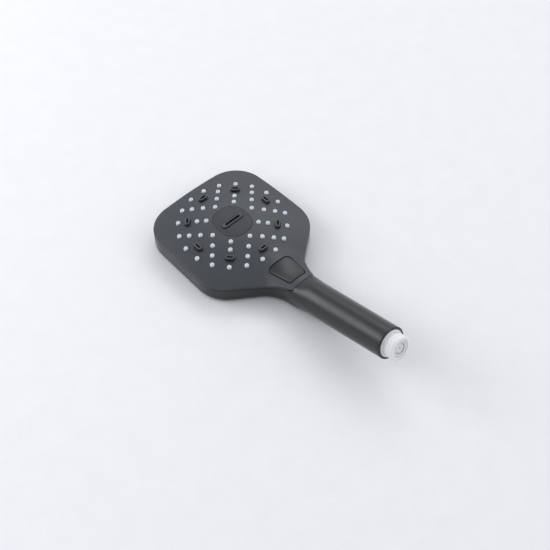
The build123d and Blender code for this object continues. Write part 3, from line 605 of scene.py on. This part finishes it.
def head_outline(end_y):
    """Outline down to an end line across the neck, with its inward normals."""
    near_x = side_x(SHOULDER_Y)
    neck_y = SHOULDER_Y - (near_x - NECK_HALF_WIDTH) * tan(SHOULDER_ANGLE)
    flare = (neck_y - SEAM_Y - NECK_STRAIGHT) / tan((pi / 2 - SHOULDER_ANGLE) / 2)
    path = mirrored(rounded_path(
        [(0, FAR_EDGE), (side_x(FAR_EDGE), FAR_EDGE), (near_x, SHOULDER_Y), (NECK_HALF_WIDTH, neck_y),
         (NECK_HALF_WIDTH, end_y)],
        [CORNER_RADIUS, SHOULDER_RADIUS, flare], OUTLINE_STEP,
    ))
    normals = inward(path, False)
    normals[0], normals[-1] = (1, 0), (-1, 0)
    return path, normals


def edge_shape(path):
    """Radius of the upper edge and depth of the side seam along the outline: towards the seam across the neck
    the edge grows round and the side seam climbs on it."""
    near = np.clip((SOFT_EDGE_Y - path[:, 1]) / (SOFT_EDGE_Y - SEAM_Y), 0, 1) ** 2
    return PLATE_EDGE + (SEAM_CORNER - PLATE_EDGE) * near, PLATE + (SEAM_DEPTH - PLATE) * near


def edge_turn(depth, radius):
    """Angle on the rounded edge at a depth below the face; upright below the rounding."""
    return np.arccos(np.clip(1 - depth / radius, 0, 1))


# Rear shell: the tub of the head, open at the seam, and the handle that goes on from there
tub_path, tub_in = head_outline(SEAM_Y)
tub_radius, tub_seam = edge_shape(tub_path)
tub_top = tub_seam + SIDE_SEAM + SHELL_EDGE
tub_inner_top = face_height(tub_path[:, 0], tub_path[:, 1]) - PLATE - SIDE_SEAM
to_seam = np.clip((SHOULDER_Y - tub_path[:, 1]) / (SHOULDER_Y - SEAM_Y), 0, 1)
tub_rounding = BACK_ROUNDING + (NECK_ROUNDING - BACK_ROUNDING) * to_seam**2 * (3 - 2 * to_seam)
tub_lift = NECK_LIFT * (np.clip(NECK_LIFT_Y - tub_path[:, 1], 0, None) / (NECK_LIFT_Y - SEAM_Y)) ** 2


def tub_row(inset, height, share=0.0):
    """Row of points an inset inside the outline, at a height; the share draws it to the middle line."""
    plan = tub_path + tub_in * np.broadcast_to(inset, len(tub_path))[:, None]
    plan = plan * (1 - share, 1) + (0, 1) * (np.clip(plan, SEAM_Y, BACK_MIDDLE_Y) - plan) * share
    return at_height(plan, height)


def tub_edge(depth):
    """Row of the outside at a depth below the face, on the rounded upper edge where that reaches so low."""
    plan = tub_path + tub_in * (tub_radius * (1 - np.sin(edge_turn(depth, tub_radius))))[:, None]
    return on_face(plan, depth)


def tub_back(inset, rounding):
    """Rows of the tub's wall along the back: from the middle and round its corner."""
    base = tub_lift + inset
    rows = [tub_row(inset + rounding, base, share) for share in np.linspace(1, 0, BACK_ROWS)[:-1]]
    for turn in np.linspace(0, pi / 2, CORNER_ROWS):
        rows.append(tub_row(inset + rounding * (1 - sin(turn)), base + rounding * (1 - cos(turn))))
    return rows


wall_shares = 1 - (1 - np.linspace(0, 1, WALL_ROWS)[1:]) ** 2
tub_outside = tub_back(0.0, tub_rounding)
low_depth = face_height(tub_path[:, 0], tub_path[:, 1]) - tub_outside[-1][:, 2]
tub_outside += [tub_edge(low_depth + (tub_top - low_depth) * share) for share in wall_shares]
tub_inside = tub_back(WALL, tub_rounding - WALL)
low_inside = tub_inside[-1][:, 2]
tub_inside += [tub_row(WALL, low_inside + (tub_inner_top - low_inside) * share) for share in wall_shares]
tub_rim = [
    tub_outside[-1] + at_height(tub_in * SHELL_EDGE * down, SHELL_EDGE * out)
    for out, down in quarter(EDGE_STEPS)[1:]
]
tub = sheet(tub_outside + tub_rim + tub_inside[::-1], closed=False)

HANDLE_AHEAD = np.array([0, -cos(TILT), sin(TILT)])
HANDLE_UP = np.array([0, sin(TILT), cos(TILT)])
ACROSS = np.array([1.0, 0, 0])
HANDLE_START = np.array([0, SEAM_Y, AXIS_HEIGHT])
ON_HANDLE = {"centre": HANDLE_START, "across": ACROSS, "up": HANDLE_UP, "ahead": HANDLE_AHEAD}


def seam_section(inset):
    """Right half of the neck's section at the seam, inside an inset: the tub's end column, the rest of the
    rounded edge and the crown to the middle. Columns are x and z."""
    column = tub_inside if inset else tub_outside
    low = np.array([row[-1] for row in column])[:, [0, 2]]
    turn = np.linspace(edge_turn(tub_top[-1], SEAM_CORNER), 0, SEAM_EDGE_POINTS)[1:]
    depth = SEAM_CORNER * (1 - np.cos(turn))
    edge_x = NECK_HALF_WIDTH - SEAM_CORNER * (1 - np.sin(turn))
    x = np.concatenate([edge_x, np.linspace(edge_x[-1], 0, CROWN_POINTS)[1:]])
    depth = np.concatenate([depth, np.zeros(CROWN_POINTS - 1)])
    if inset:
        x = np.linspace(NECK_HALF_WIDTH - inset, 0, len(x) + 1)[1:]
        depth = inset
    return np.concatenate([low, np.stack([x, face_height(x, SEAM_Y) - depth], 1)]), len(low)


half_section, low_count = seam_section(0.0)
seam_loop = ring_loop(half_section)
seam_angle = np.arctan2(seam_loop[:, 1] - AXIS_HEIGHT, seam_loop[:, 0])
handle_ring = np.cos(seam_angle)[:, None] * ACROSS + np.sin(seam_angle)[:, None] * HANDLE_UP
upper = np.arange(low_count - 1, len(seam_loop) - low_count + 2)


def at_seam(loop, y):
    """Section points set across the neck at y."""
    return np.stack([loop[:, 0], 0 * loop[:, 0] + y, loop[:, 1]], 1)


def handle_circle(distance, radius):
    """Ring of the handle whose points answer those of the neck's section."""
    return HANDLE_START + distance * HANDLE_AHEAD + radius * handle_ring


def handle_rows():
    """Rings of the handle: cubic curves from the neck's section to the circle, a straight slight taper,
    the rounded rim, and back along the bore to the section inside."""
    start = at_seam(seam_loop, SEAM_Y)
    start[upper[1:-1], 1] -= SEAM_EDGE
    end = handle_circle(NECK_LENGTH, HANDLE_RADIUS)
    direct = np.clip((seam_loop[:, 1:] - AXIS_HEIGHT) / NECK_HALF_WIDTH, 0, 1)
    leave = np.array([0, -1, tan(NECK_RISE)]) * NECK_LENGTH
    leave = leave + (end - start - leave) * direct
    arrive = NECK_LENGTH * HANDLE_AHEAD
    rows = [
        (2 * w**3 - 3 * w**2 + 1) * start + (w**3 - 2 * w**2 + w) * leave + (3 * w**2 - 2 * w**3) * end
        + (w**3 - w**2) * arrive for w in np.linspace(0, 1, NECK_ROWS)
    ]
    straight_end = HANDLE_LENGTH - RIM_EDGE
    for share in np.linspace(0, 1, HANDLE_ROWS)[1:]:
        radius = HANDLE_RADIUS + (HANDLE_END_RADIUS - HANDLE_RADIUS) * share
        rows.append(handle_circle(NECK_LENGTH + (straight_end - NECK_LENGTH) * share, radius))
    for out, down in quarter(RIM_STEPS)[1:]:
        rows.append(handle_circle(straight_end + RIM_EDGE * out, HANDLE_END_RADIUS - RIM_EDGE * down))
    for out, down in quarter(SMALL_EDGE_STEPS):
        rows.append(handle_circle(HANDLE_LENGTH - SEAM_EDGE * down, HANDLE_BORE + SEAM_EDGE * (1 - out)))
    for distance in (HANDLE_LENGTH - BORE_SUPPORT, NECK_LENGTH):
        rows.append(handle_circle(distance, HANDLE_BORE))
    rows.append(at_seam(ring_loop(seam_section(WALL)[0]), SEAM_Y))
    return rows


shell_rows = handle_rows()
edge_in = inward(seam_loop, True) * -1
step_rows = [shell_rows[0][upper]]
for out, down in quarter(SMALL_EDGE_STEPS)[1:]:
    step_rows.append(at_seam(seam_loop + edge_in * SEAM_EDGE * down, SEAM_Y - SEAM_EDGE * (1 - out))[upper])
step_rows.append(shell_rows[-1][upper])
rear_shell = joined([tub, sheet(shell_rows), sheet(step_rows, closed=False)])
piece("rear_shell_body", rear_shell, shell_abs, "housing", "shell_plastic", "rear_shell")

# Face plate: the top of the face as triangles between its loops, its edges, and the same sheet again below


def button_loop(grow):
    """Rounded trapezoid of the button, grown by a margin."""
    half = rounded_path(
        [(0, BUTTON_HEAD_Y), (BUTTON_HEAD_HALF, BUTTON_HEAD_Y), (BUTTON_HANDLE_HALF, BUTTON_HANDLE_Y),
         (0, BUTTON_HANDLE_Y)], [BUTTON_HEAD_CORNER, BUTTON_HANDLE_CORNER], BUTTON_STEP,
    )
    loop = ring_loop(half)
    return loop - inward(loop, True) * grow


def centre_loop(shrink):
    """Rounded rectangle of the centre plate, drawn in by a margin."""
    x, y = CENTRE_WIDTH / 2, CENTRE_LENGTH / 2
    loop = ring_loop(rounded_path([(0, y), (x, y), (x, -y), (0, -y)], [CENTRE_CORNER] * 2, CENTRE_STEP))
    return loop + inward(loop, True) * shrink


rain_places = np.concatenate([ring_places(*ring) for ring in RAIN_RINGS])
fan_places = ring_places(FAN_RING, FAN_COUNT, 0)
fan_angles = np.arange(FAN_COUNT) * 2 * pi / FAN_COUNT + pi / 2


def hole_loops():
    """Loops of the openings in the plate: tips, fan slots, centre plate and button, each clockwise."""
    turn = np.linspace(0, -2 * pi, TIP_SIDES, endpoint=False)
    tip = (TIP_BASE + FIT) * np.stack([np.cos(turn), np.sin(turn)], 1)
    slot = stadium(FAN_LENGTH + 2 * FIT, FAN_WIDTH + 2 * FIT, FAN_SIDES)[::-1]
    loops = [tip + place for place in rain_places]
    loops += [placed(slot, angle, place) for place, angle in zip(fan_places, fan_angles)]
    return loops + [centre_loop(0.0), button_loop(BUTTON_GAP)]


def plate_sheet(edge, loops, beside):
    """Triangles of the top between its edge and the wider loops of the openings, on a grid of points; the points
    beside the edges keep the shading of their roundings off the top."""
    last = GRID_REACH + GRID_STEP / 2
    across, along = np.arange(-GRID_REACH, last, GRID_STEP), np.arange(SEAM_Y, last, GRID_STEP)
    grid = np.stack(np.meshgrid(across, along), -1).reshape(-1, 2)
    fixed = np.concatenate([edge] + loops)
    clear = np.ones(len(grid), bool)
    for part in np.array_split(np.arange(len(grid)), GRID_PARTS):
        away = np.linalg.norm(grid[part, None] - fixed[None], axis=2).min(1)
        clear[part] = away > GRID_CLEAR
    grid = np.concatenate([grid[clear], beside])
    grid = grid[inside(grid, edge)]
    for loop in loops:
        grid = grid[~inside(grid, loop)]
    points = np.concatenate([fixed, grid])
    sides, count = [], 0
    for loop in [edge] + loops:
        index = np.arange(len(loop))
        sides += (np.stack([index, np.roll(index, -1)], 1) + count).tolist()
        count += len(loop)
    plan, _, triangles, _, _, _ = delaunay_2d_cdt([Vector(p) for p in points], sides, [], 0, SAME_POINT)
    plan = np.array([tuple(p) for p in plan])
    triangles = np.array(triangles)
    middle = plan[triangles].mean(1)
    keep = inside(middle, edge)
    for loop in loops:
        near = keep & (np.abs(middle - loop.mean(0)).max(1) < np.abs(loop - loop.mean(0)).max())
        keep[near] &= ~inside(middle[near], loop)
    return plan, triangles[keep].tolist(), len(fixed)


plate_end = SEAM_Y + SEAM_GAP + SEAM_EDGE
plate_path, plate_in = head_outline(plate_end)
plate_radius, plate_depth = edge_shape(plate_path)
plate_turn = edge_turn(plate_depth, plate_radius)


def plate_side(share):
    """Plan and depth of the plate's side at a share of its rounded edge, from the top down to the side seam."""
    inset = plate_radius * (1 - np.sin(plate_turn * share))
    return plate_path + plate_in * inset[:, None], plate_radius * (1 - np.cos(plate_turn * share))


side_rows = [on_face(*plate_side(share)) for share in np.linspace(0, 1, PLATE_SIDE_ROWS)]
lower_side, side_depth = plate_side(1.0)
side_rows.append(on_face(lower_side, np.maximum(side_depth, plate_depth - UNDER_EDGE)))
side_rows.append(on_face(lower_side + plate_in * UNDER_EDGE, plate_depth))
end_x = np.linspace(side_rows[0][-1, 0], side_rows[0][0, 0], END_POINTS)[1:-1]
end_line = np.stack([end_x, 0 * end_x + plate_end], 1)
holes = hole_loops()
hole_in = [inward(loop, True) for loop in holes]
wide = [loop - normals * HOLE_EDGE for loop, normals in zip(holes, hole_in)]
plate_edge = np.concatenate([side_rows[0][:, :2], end_line])
beside = [side_rows[0][:, :2] + plate_in * BESIDE, end_line + (0, BESIDE)]
beside += [loop - normals * BESIDE for loop, normals in zip(wide, hole_in)]
plan, triangles, fixed_count = plate_sheet(plate_edge, wide, np.concatenate(beside))
under_plan = plan.copy()
under_plan[:fixed_count] = np.concatenate([side_rows[-1][:, :2], end_line] + holes)
under_depth = np.full(len(plan), PLATE)
under_depth[:len(plate_path)] = plate_depth
plate_parts = [
    (on_face(plan, 0.0), triangles), (on_face(under_plan, under_depth), triangles),
    sheet(side_rows, closed=False),
]
hole_section = [(HOLE_EDGE * (out - 1), HOLE_EDGE * down) for out, down in quarter(SMALL_EDGE_STEPS)]
hole_section.append((0.0, PLATE))
plate_parts += [sheet(rim_rows(loop, normals, hole_section)) for loop, normals in zip(holes, hole_in)]
end_loop = np.concatenate([
    np.array([row[-1] for row in side_rows])[::-1], on_face(end_line, 0.0),
    np.array([row[0] for row in side_rows]), on_face(end_line, PLATE)[::-1],
])
end_in = -inward(end_loop[:, [0, 2]], True)
end_rows = []
for out, down in quarter(SMALL_EDGE_STEPS):
    section = end_loop[:, [0, 2]] + end_in * SEAM_EDGE * down
    end_rows.append(at_seam(section, plate_end - SEAM_EDGE * out))
plate_parts.append(sheet(end_rows, last_cap=True))
piece("face_plate_dome", joined(plate_parts), face_abs, "housing", "face_plastic", "face_plate")

# Rain mat: the sheet behind the plate and the tips that stand through it
tip_profile = softened([
    (0, -PLATE), (TIP_BORE, -PLATE), (TIP_BORE, TIP_PROUD), (TIP_RADIUS, TIP_PROUD),
    (TIP_BASE - TIP_WAIST, TIP_WAIST_HEIGHT), (TIP_BASE, -TIP_FOOT), (TIP_BASE, -PLATE - TIP_FOOT),
    (0, -PLATE - TIP_FOOT),
], TIP_EDGE, TIP_EDGE_STEPS)
tips = [sheet(turned(tip_profile, TIP_SIDES, (x, y, face_height(x, y)))) for x, y in rain_places]
mat_turn = np.linspace(0, 2 * pi, MAT_SIDES, endpoint=False)
mat_circle = np.stack([np.cos(mat_turn), np.sin(mat_turn)], 1)
mat_radii = np.linspace(JET_FLANGE + FIT, MAT_RADIUS, MAT_ROWS)
mat_rows = [on_face(mat_circle * radius, PLATE + MAT_GAP) for radius in mat_radii]
mat_rows += [on_face(mat_circle * radius, MAT_DEPTH) for radius in mat_radii[::-1]]
mat_rows.append(mat_rows[0])
piece("rain_tips", joined(tips + [sheet(mat_rows)]), pale_silicone, "housing", "pale_silicone", "rain_nozzle_mat")

# Fan nozzles: a lip carried round a slot, open in the shape of a lens


def fan_nozzle(place, angle):
    """Rows of one fan nozzle, from its foot over the rounded lip into the lens."""
    loop = stadium(FAN_LENGTH, FAN_WIDTH, FAN_SIDES)
    lip = loop + (middle_line(loop, FAN_LENGTH, FAN_WIDTH) - loop) * FAN_EDGE / (FAN_WIDTH / 2)
    opening = lens(FAN_SLOT_LENGTH, FAN_SLOT_WIDTH, loop)
    room = opening + (lip - opening) * FAN_ROOM
    rows = [(loop, FAN_FOOT - MAT_DEPTH)]
    rows += [
        (loop + (lip - loop) * (1 - out), FAN_PROUD - FAN_EDGE * down) for out, down in quarter(EDGE_STEPS)[::-1]
    ]
    rows += [
        (lip + (opening - lip) * FAN_LAND, FAN_PROUD), (opening, FAN_PROUD - FAN_LIP_EDGE),
        (opening, FAN_PROUD - FAN_LIP), (room, FAN_PROUD - FAN_ROOM_DEPTH), (room, -PLATE),
    ]
    height = face_height(*place)
    rows = [at_height(placed(plan, angle, place), height + rise) for plan, rise in rows]
    return sheet(rows, first_cap=True, last_cap=True)


fans = [fan_nozzle(place, angle) for place, angle in zip(fan_places, fan_angles)]
piece("fan_nozzle_lips", joined(fans), black_silicone, "housing", "black_silicone", "fan_nozzles")

# Centre plate: flush, from its seam to the opening of the jet
plate_outer = centre_loop(CENTRE_SEAM)
plate_outer_in = inward(plate_outer, True)
jet_opening = on_slot(plate_outer, JET_LENGTH + 2 * FIT, JET_WIDTH + 2 * FIT)
centre_rows = [on_face(plate_outer, PLATE)]
centre_rows += rim_rows(
    plate_outer, plate_outer_in,
    [(HOLE_EDGE * (1 - out), HOLE_EDGE * down) for out, down in quarter(SMALL_EDGE_STEPS)[::-1]],
)
inner_start = plate_outer + plate_outer_in * HOLE_EDGE
for share in np.linspace(0, 1, CENTRE_ROWS)[1:]:
    centre_rows.append(on_face(inner_start + (jet_opening - inner_start) * share, 0.0))
centre_rows += [on_face(jet_opening, PLATE), centre_rows[0]]
piece("centre_plate_square", sheet(centre_rows), centre_abs, "housing", "face_plastic", "centre_plate")

# Jet nozzle: a soft ridge carried round a long slot


def jet_rows():
    """Rows of the jet from its flange up the ridge and down into the slot."""
    loop = stadium(JET_LENGTH, JET_WIDTH, JET_SIDES)
    slot = on_slot(loop, JET_SLOT_LENGTH, JET_SLOT_WIDTH)
    room = on_slot(loop, JET_SLOT_LENGTH + 2 * JET_ROOM, JET_SLOT_WIDTH + 2 * JET_ROOM)
    top = loop + (middle_line(loop, JET_LENGTH, JET_WIDTH) - loop) * JET_SLOPE / (JET_WIDTH / 2)
    rows = [(loop, -PLATE)]
    rows += [(loop + (top - loop) * down, JET_PROUD * out) for out, down in quarter(RIDGE_STEPS)]
    rows += [
        (top + (slot - top) * JET_LAND, JET_PROUD), (slot, JET_PROUD - JET_LIP_EDGE), (slot, JET_PROUD - JET_LIP),
        (room, JET_PROUD - 2 * JET_LIP), (room, -PLATE),
    ]
    height = face_height(0.0, 0.0)
    return [at_height(plan, height + rise) for plan, rise in rows]


jet_flange_section = [
    (JET_FLANGE_MIDDLE, PLATE + MAT_GAP), (JET_FLANGE, PLATE + MAT_GAP), (JET_FLANGE, MAT_DEPTH),
    (JET_FLANGE_MIDDLE, MAT_DEPTH),
]
jet_flange = [on_face(mat_circle * radius, depth) for radius, depth in jet_flange_section]
jet = joined([sheet(rows, first_cap=True, last_cap=True) for rows in (jet_rows(), jet_flange)])
piece("jet_ridge", jet, face_abs, "housing", "face_plastic", "jet_nozzle")

# Button: dished top, rounded edge and skirt
button_middle = np.array([0, (BUTTON_HEAD_Y + BUTTON_HANDLE_Y) / 2])


def dish_depth(plan):
    """Depth of the button's thumb rest: hollow along the handle, with steep sides, level with the rim."""
    along = (plan[:, 1] - button_middle[1]) / (BUTTON_HEAD_Y - BUTTON_HANDLE_Y) * 2
    half_width = (BUTTON_HEAD_HALF * (1 + along) + BUTTON_HANDLE_HALF * (1 - along)) / 2
    across = plan[:, 0] / half_width
    return DISH_DEPTH * np.clip(1 - along**2, 0, None) * np.clip(1 - across**DISH_STEEPNESS, 0, None)


def button_rows():
    """Rows of the button from the foot of its skirt over the rounded edge, then down the dish to the middle."""
    loop = button_loop(-BUTTON_SHRINK)
    normals = inward(loop, True)
    section = [(0.0, BUTTON_DEPTH)]
    section += [(BUTTON_EDGE * (1 - out), BUTTON_EDGE * down) for out, down in quarter(EDGE_STEPS)[::-1]]
    rows = rim_rows(loop, normals, section)
    start = loop + normals * BUTTON_EDGE
    for share in np.linspace(1, 0, DISH_ROWS)[1:]:
        plan = button_middle + (start - button_middle) * share
        rows.append(on_face(plan, dish_depth(plan)))
    return rows


piece("button_cap", sheet(button_rows(), first_cap=True), button_abs, "button", "face_plastic", "button")

# Return spring of the button, drawn at rest on a mesh of its own; in use its coils close up as the button goes in
button_coil = coil(
    BUTTON_SPRING_RADIUS, BUTTON_SPRING_WIRE, BUTTON_SPRING_TURNS,
    BUTTON_SPRING_TOP - BUTTON_SPRING_FOOT - 2 * BUTTON_SPRING_WIRE,
    centre=(0, BUTTON_SPRING_Y, BUTTON_SPRING_FOOT + BUTTON_SPRING_WIRE),
)
button_return = piece("button_return_spring", button_coil, steel, "housing", "steel", "button_spring")
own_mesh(button_return)

# Inlet: collar, relief, thread, end ring and mouth


def thread_radius(turn, distance):
    """Radius of the thread: flanks up and down once in each pitch with rounded crests, faded in from
    the relief and held under the chamfer at the end."""
    wave = np.abs(2 * ((distance / THREAD_PITCH - turn / (2 * pi)) % 1) - 1)
    depth = THREAD_RADIUS - THREAD_ROOT
    raised = THREAD_ROOT + depth * (1 - (1 - wave) ** CREST_ROUNDNESS)
    fade = THREAD_ROOT + depth * np.clip((distance - THREAD_BEGIN + THREAD_LEAD) / (2 * THREAD_LEAD), 0, 1)
    chamfer = THREAD_RADIUS - INLET_CHAMFER + (INLET_END - distance)
    return np.minimum(np.minimum(raised, fade), chamfer)


collar_profile = softened([
    (MOUTH_RADIUS, COLLAR_BACK), (COLLAR_RADIUS, COLLAR_BACK), (COLLAR_RADIUS, COLLAR_END),
    (COLLAR_RADIUS - COLLAR_FACE, COLLAR_END), (THREAD_ROOT, COLLAR_END - COLLAR_RELIEF),
    (THREAD_ROOT, THREAD_BEGIN - THREAD_LEAD),
], COLLAR_EDGE)
thread_turn = np.linspace(0, 2 * pi, INLET_SIDES, endpoint=False)
thread_along = np.linspace(THREAD_BEGIN - THREAD_LEAD, INLET_END - INLET_SOFT, THREAD_ROWS)
thread_ring = np.cos(thread_turn)[:, None] * ACROSS + np.sin(thread_turn)[:, None] * HANDLE_UP
thread_r = thread_radius(thread_turn[None], thread_along[:, None])
thread_rows = HANDLE_START + thread_along[:, None, None] * HANDLE_AHEAD + thread_r[..., None] * thread_ring
mouth_profile = softened([
    (THREAD_RADIUS - INLET_CHAMFER - INLET_SOFT, INLET_END), (MOUTH_RADIUS, INLET_END),
    (MOUTH_RADIUS, MOUTH_BACK), (SPIGOT_BORE, MOUTH_BACK), (SPIGOT_BORE, COLLAR_BACK),
    (MOUTH_RADIUS, COLLAR_BACK),
], MOUTH_EDGE)
inlet_rows = np.concatenate([
    turned(collar_profile, INLET_SIDES, **ON_HANDLE), thread_rows[1:],
    turned(mouth_profile, INLET_SIDES, **ON_HANDLE),
])
piece("threaded_inlet", sheet(inlet_rows), white_pom, "housing", "white_plastic", "inlet_connector")

# Non-return valve: ring with its seat, guide, and the poppet with a dimple in its nose
ring_profile = softened([
    (VALVE_ROOM, VALVE_ROOM_FRONT), (VALVE_SEAT, VALVE_ROOM_FRONT), (VALVE_SEAT, VALVE_FRONT),
    (VALVE_RADIUS, VALVE_FRONT), (VALVE_RADIUS, MOUTH_BACK), (VALVE_ROOM, MOUTH_BACK),
    (VALVE_ROOM, VALVE_ROOM_FRONT),
], VALVE_EDGE)
guide_profile = [
    (VALVE_GUIDE, VALVE_FOOT), (VALVE_GUIDE, VALVE_ROOM_BACK), (VALVE_ROOM, VALVE_ROOM_BACK),
    (VALVE_ROOM, VALVE_FOOT), (VALVE_GUIDE, VALVE_FOOT),
]
valve_ring = sheet(turned(ring_profile, VALVE_SIDES, **ON_HANDLE))
valve = joined([valve_ring, sheet(turned(guide_profile, GUIDE_SIDES, **ON_HANDLE))])
piece("valve_ring", valve, grey_pom, "housing", "grey_plastic", "check_valve_body")
poppet_profile = softened([
    (0.0, NOSE_FRONT - DIMPLE_DEPTH), (DIMPLE_RADIUS, NOSE_FRONT - DIMPLE_DEPTH), (DIMPLE_RADIUS, NOSE_FRONT),
    (NOSE_RADIUS, NOSE_FRONT), (NOSE_RADIUS, DISC_FRONT), (DISC_RADIUS, DISC_FRONT), (DISC_RADIUS, DISC_BACK),
    (STEM_RADIUS, DISC_BACK), (STEM_RADIUS, STEM_BACK), (0.0, STEM_BACK),
], POPPET_EDGE)
poppet = sheet(turned(poppet_profile, POPPET_SIDES, **ON_HANDLE))
piece("valve_poppet", poppet, disc_pom, "poppet", "grey_plastic", "check_valve_poppet")

# Return spring of the valve, drawn at rest on a mesh of its own; in use its coils close up as the poppet goes in
valve_spring_foot = HANDLE_START + (VALVE_ROOM_BACK + FIT) * HANDLE_AHEAD
valve_spring_length = DISC_BACK - VALVE_ROOM_BACK - 2 * FIT
valve_coil = coil(
    VALVE_SPRING_RADIUS, VALVE_SPRING_WIRE, VALVE_SPRING_TURNS, valve_spring_length - 2 * VALVE_SPRING_WIRE,
    **{**ON_HANDLE, "centre": valve_spring_foot + VALVE_SPRING_WIRE * HANDLE_AHEAD},
)
valve_return = piece("valve_return_spring", valve_coil, steel, "housing", "steel", "check_valve_spring")
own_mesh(valve_return)

# Lights, floor and camera, in metres: the studio is brighter behind the object than on its near side
NEAR_LIGHT = 0.45
FAR_LIGHT = 0.92
FAR_SIDE = (0.68, 0.73, 0.0)
FLOOR_REACH = 4.0
world = bpy.data.worlds.new("studio")
world.use_nodes = True
bpy.context.scene.world = world
background = world.node_tree.nodes["Background"]
background.inputs["Color"].default_value = linear("#f4f5f8")
studio = world.node_tree
direction = add(studio, "ShaderNodeTexCoord").outputs["Generated"]
toward = add(studio, "ShaderNodeVectorMath", {0: direction, 1: FAR_SIDE}, operation="DOT_PRODUCT")
level = add(studio, "ShaderNodeMapRange", {
    "Value": toward.outputs["Value"], "From Min": -1.0, "From Max": 1.0,
    "To Min": NEAR_LIGHT, "To Max": FAR_LIGHT,
})
studio.links.new(level.outputs[0], background.inputs["Strength"])


def softbox(name, place, target, width, height, power):
    """A rectangular soft light at a place in metres, turned towards a target."""
    lamp = bpy.data.lights.new(name, "AREA")
    lamp.shape = "RECTANGLE"
    lamp.size = width
    lamp.size_y = height
    lamp.energy = power
    made = bpy.data.objects.new(name, lamp)
    made.location = place
    made.rotation_euler = (Vector(target) - Vector(place)).to_track_quat("-Z", "Y").to_euler()
    bpy.context.scene.collection.objects.link(made)


softbox("front_softbox", (1.02, 0.62, 1.18), target=(0, -0.05, 0), width=1.5, height=0.75, power=6)
softbox("back_softbox", (-0.76, 1.2, 0.7), target=(0, -0.1, 0.02), width=1.1, height=0.75, power=10.5)
softbox("left_softbox", (-1.1, 0.3, 0.95), target=(0, -0.05, 0), width=0.8, height=0.8, power=2.5)
softbox("right_softbox", (0.8, -0.95, 0.75), target=(0, -0.15, 0.02), width=0.9, height=0.9, power=3)

# Coated paper, calendered: near white and matte
floor_paper = moulded("coated_paper", "#edeef2", "#e9eaee", roughness=0.85, grain=2.0, depth=0.0)
floor_corners = [(x * FLOOR_REACH, y * FLOOR_REACH, 0) for x, y in ((-1, -1), (1, -1), (1, 1), (-1, 1))]
floor_mesh = bpy.data.meshes.new("floor")
floor_mesh.from_pydata(floor_corners, [], [(0, 1, 2, 3)])
floor_mesh.materials.append(floor_paper)
floor = bpy.data.objects.new("floor", floor_mesh)
bpy.context.scene.collection.objects.link(floor)

# Camera of the photo, fitted to the nozzle rings and the outlines
photo_optics = bpy.data.cameras.new("photo_camera")
photo_optics.lens = 73.5
photo_optics.sensor_width = 36.0
photo_optics.dof.use_dof = False
camera = bpy.data.objects.new("photo_camera", photo_optics)
camera.matrix_world = Matrix((
    (0.7314, 0.5398, -0.4168, -0.39754),
    (-0.6819, 0.5735, -0.4539, -0.48598),
    (-0.0060, 0.6162, 0.7875, 0.75312),
    (0, 0, 0, 1),
))
bpy.context.scene.collection.objects.link(camera)
bpy.context.scene.camera = camera
bpy.context.scene.view_settings.view_transform = "Standard"
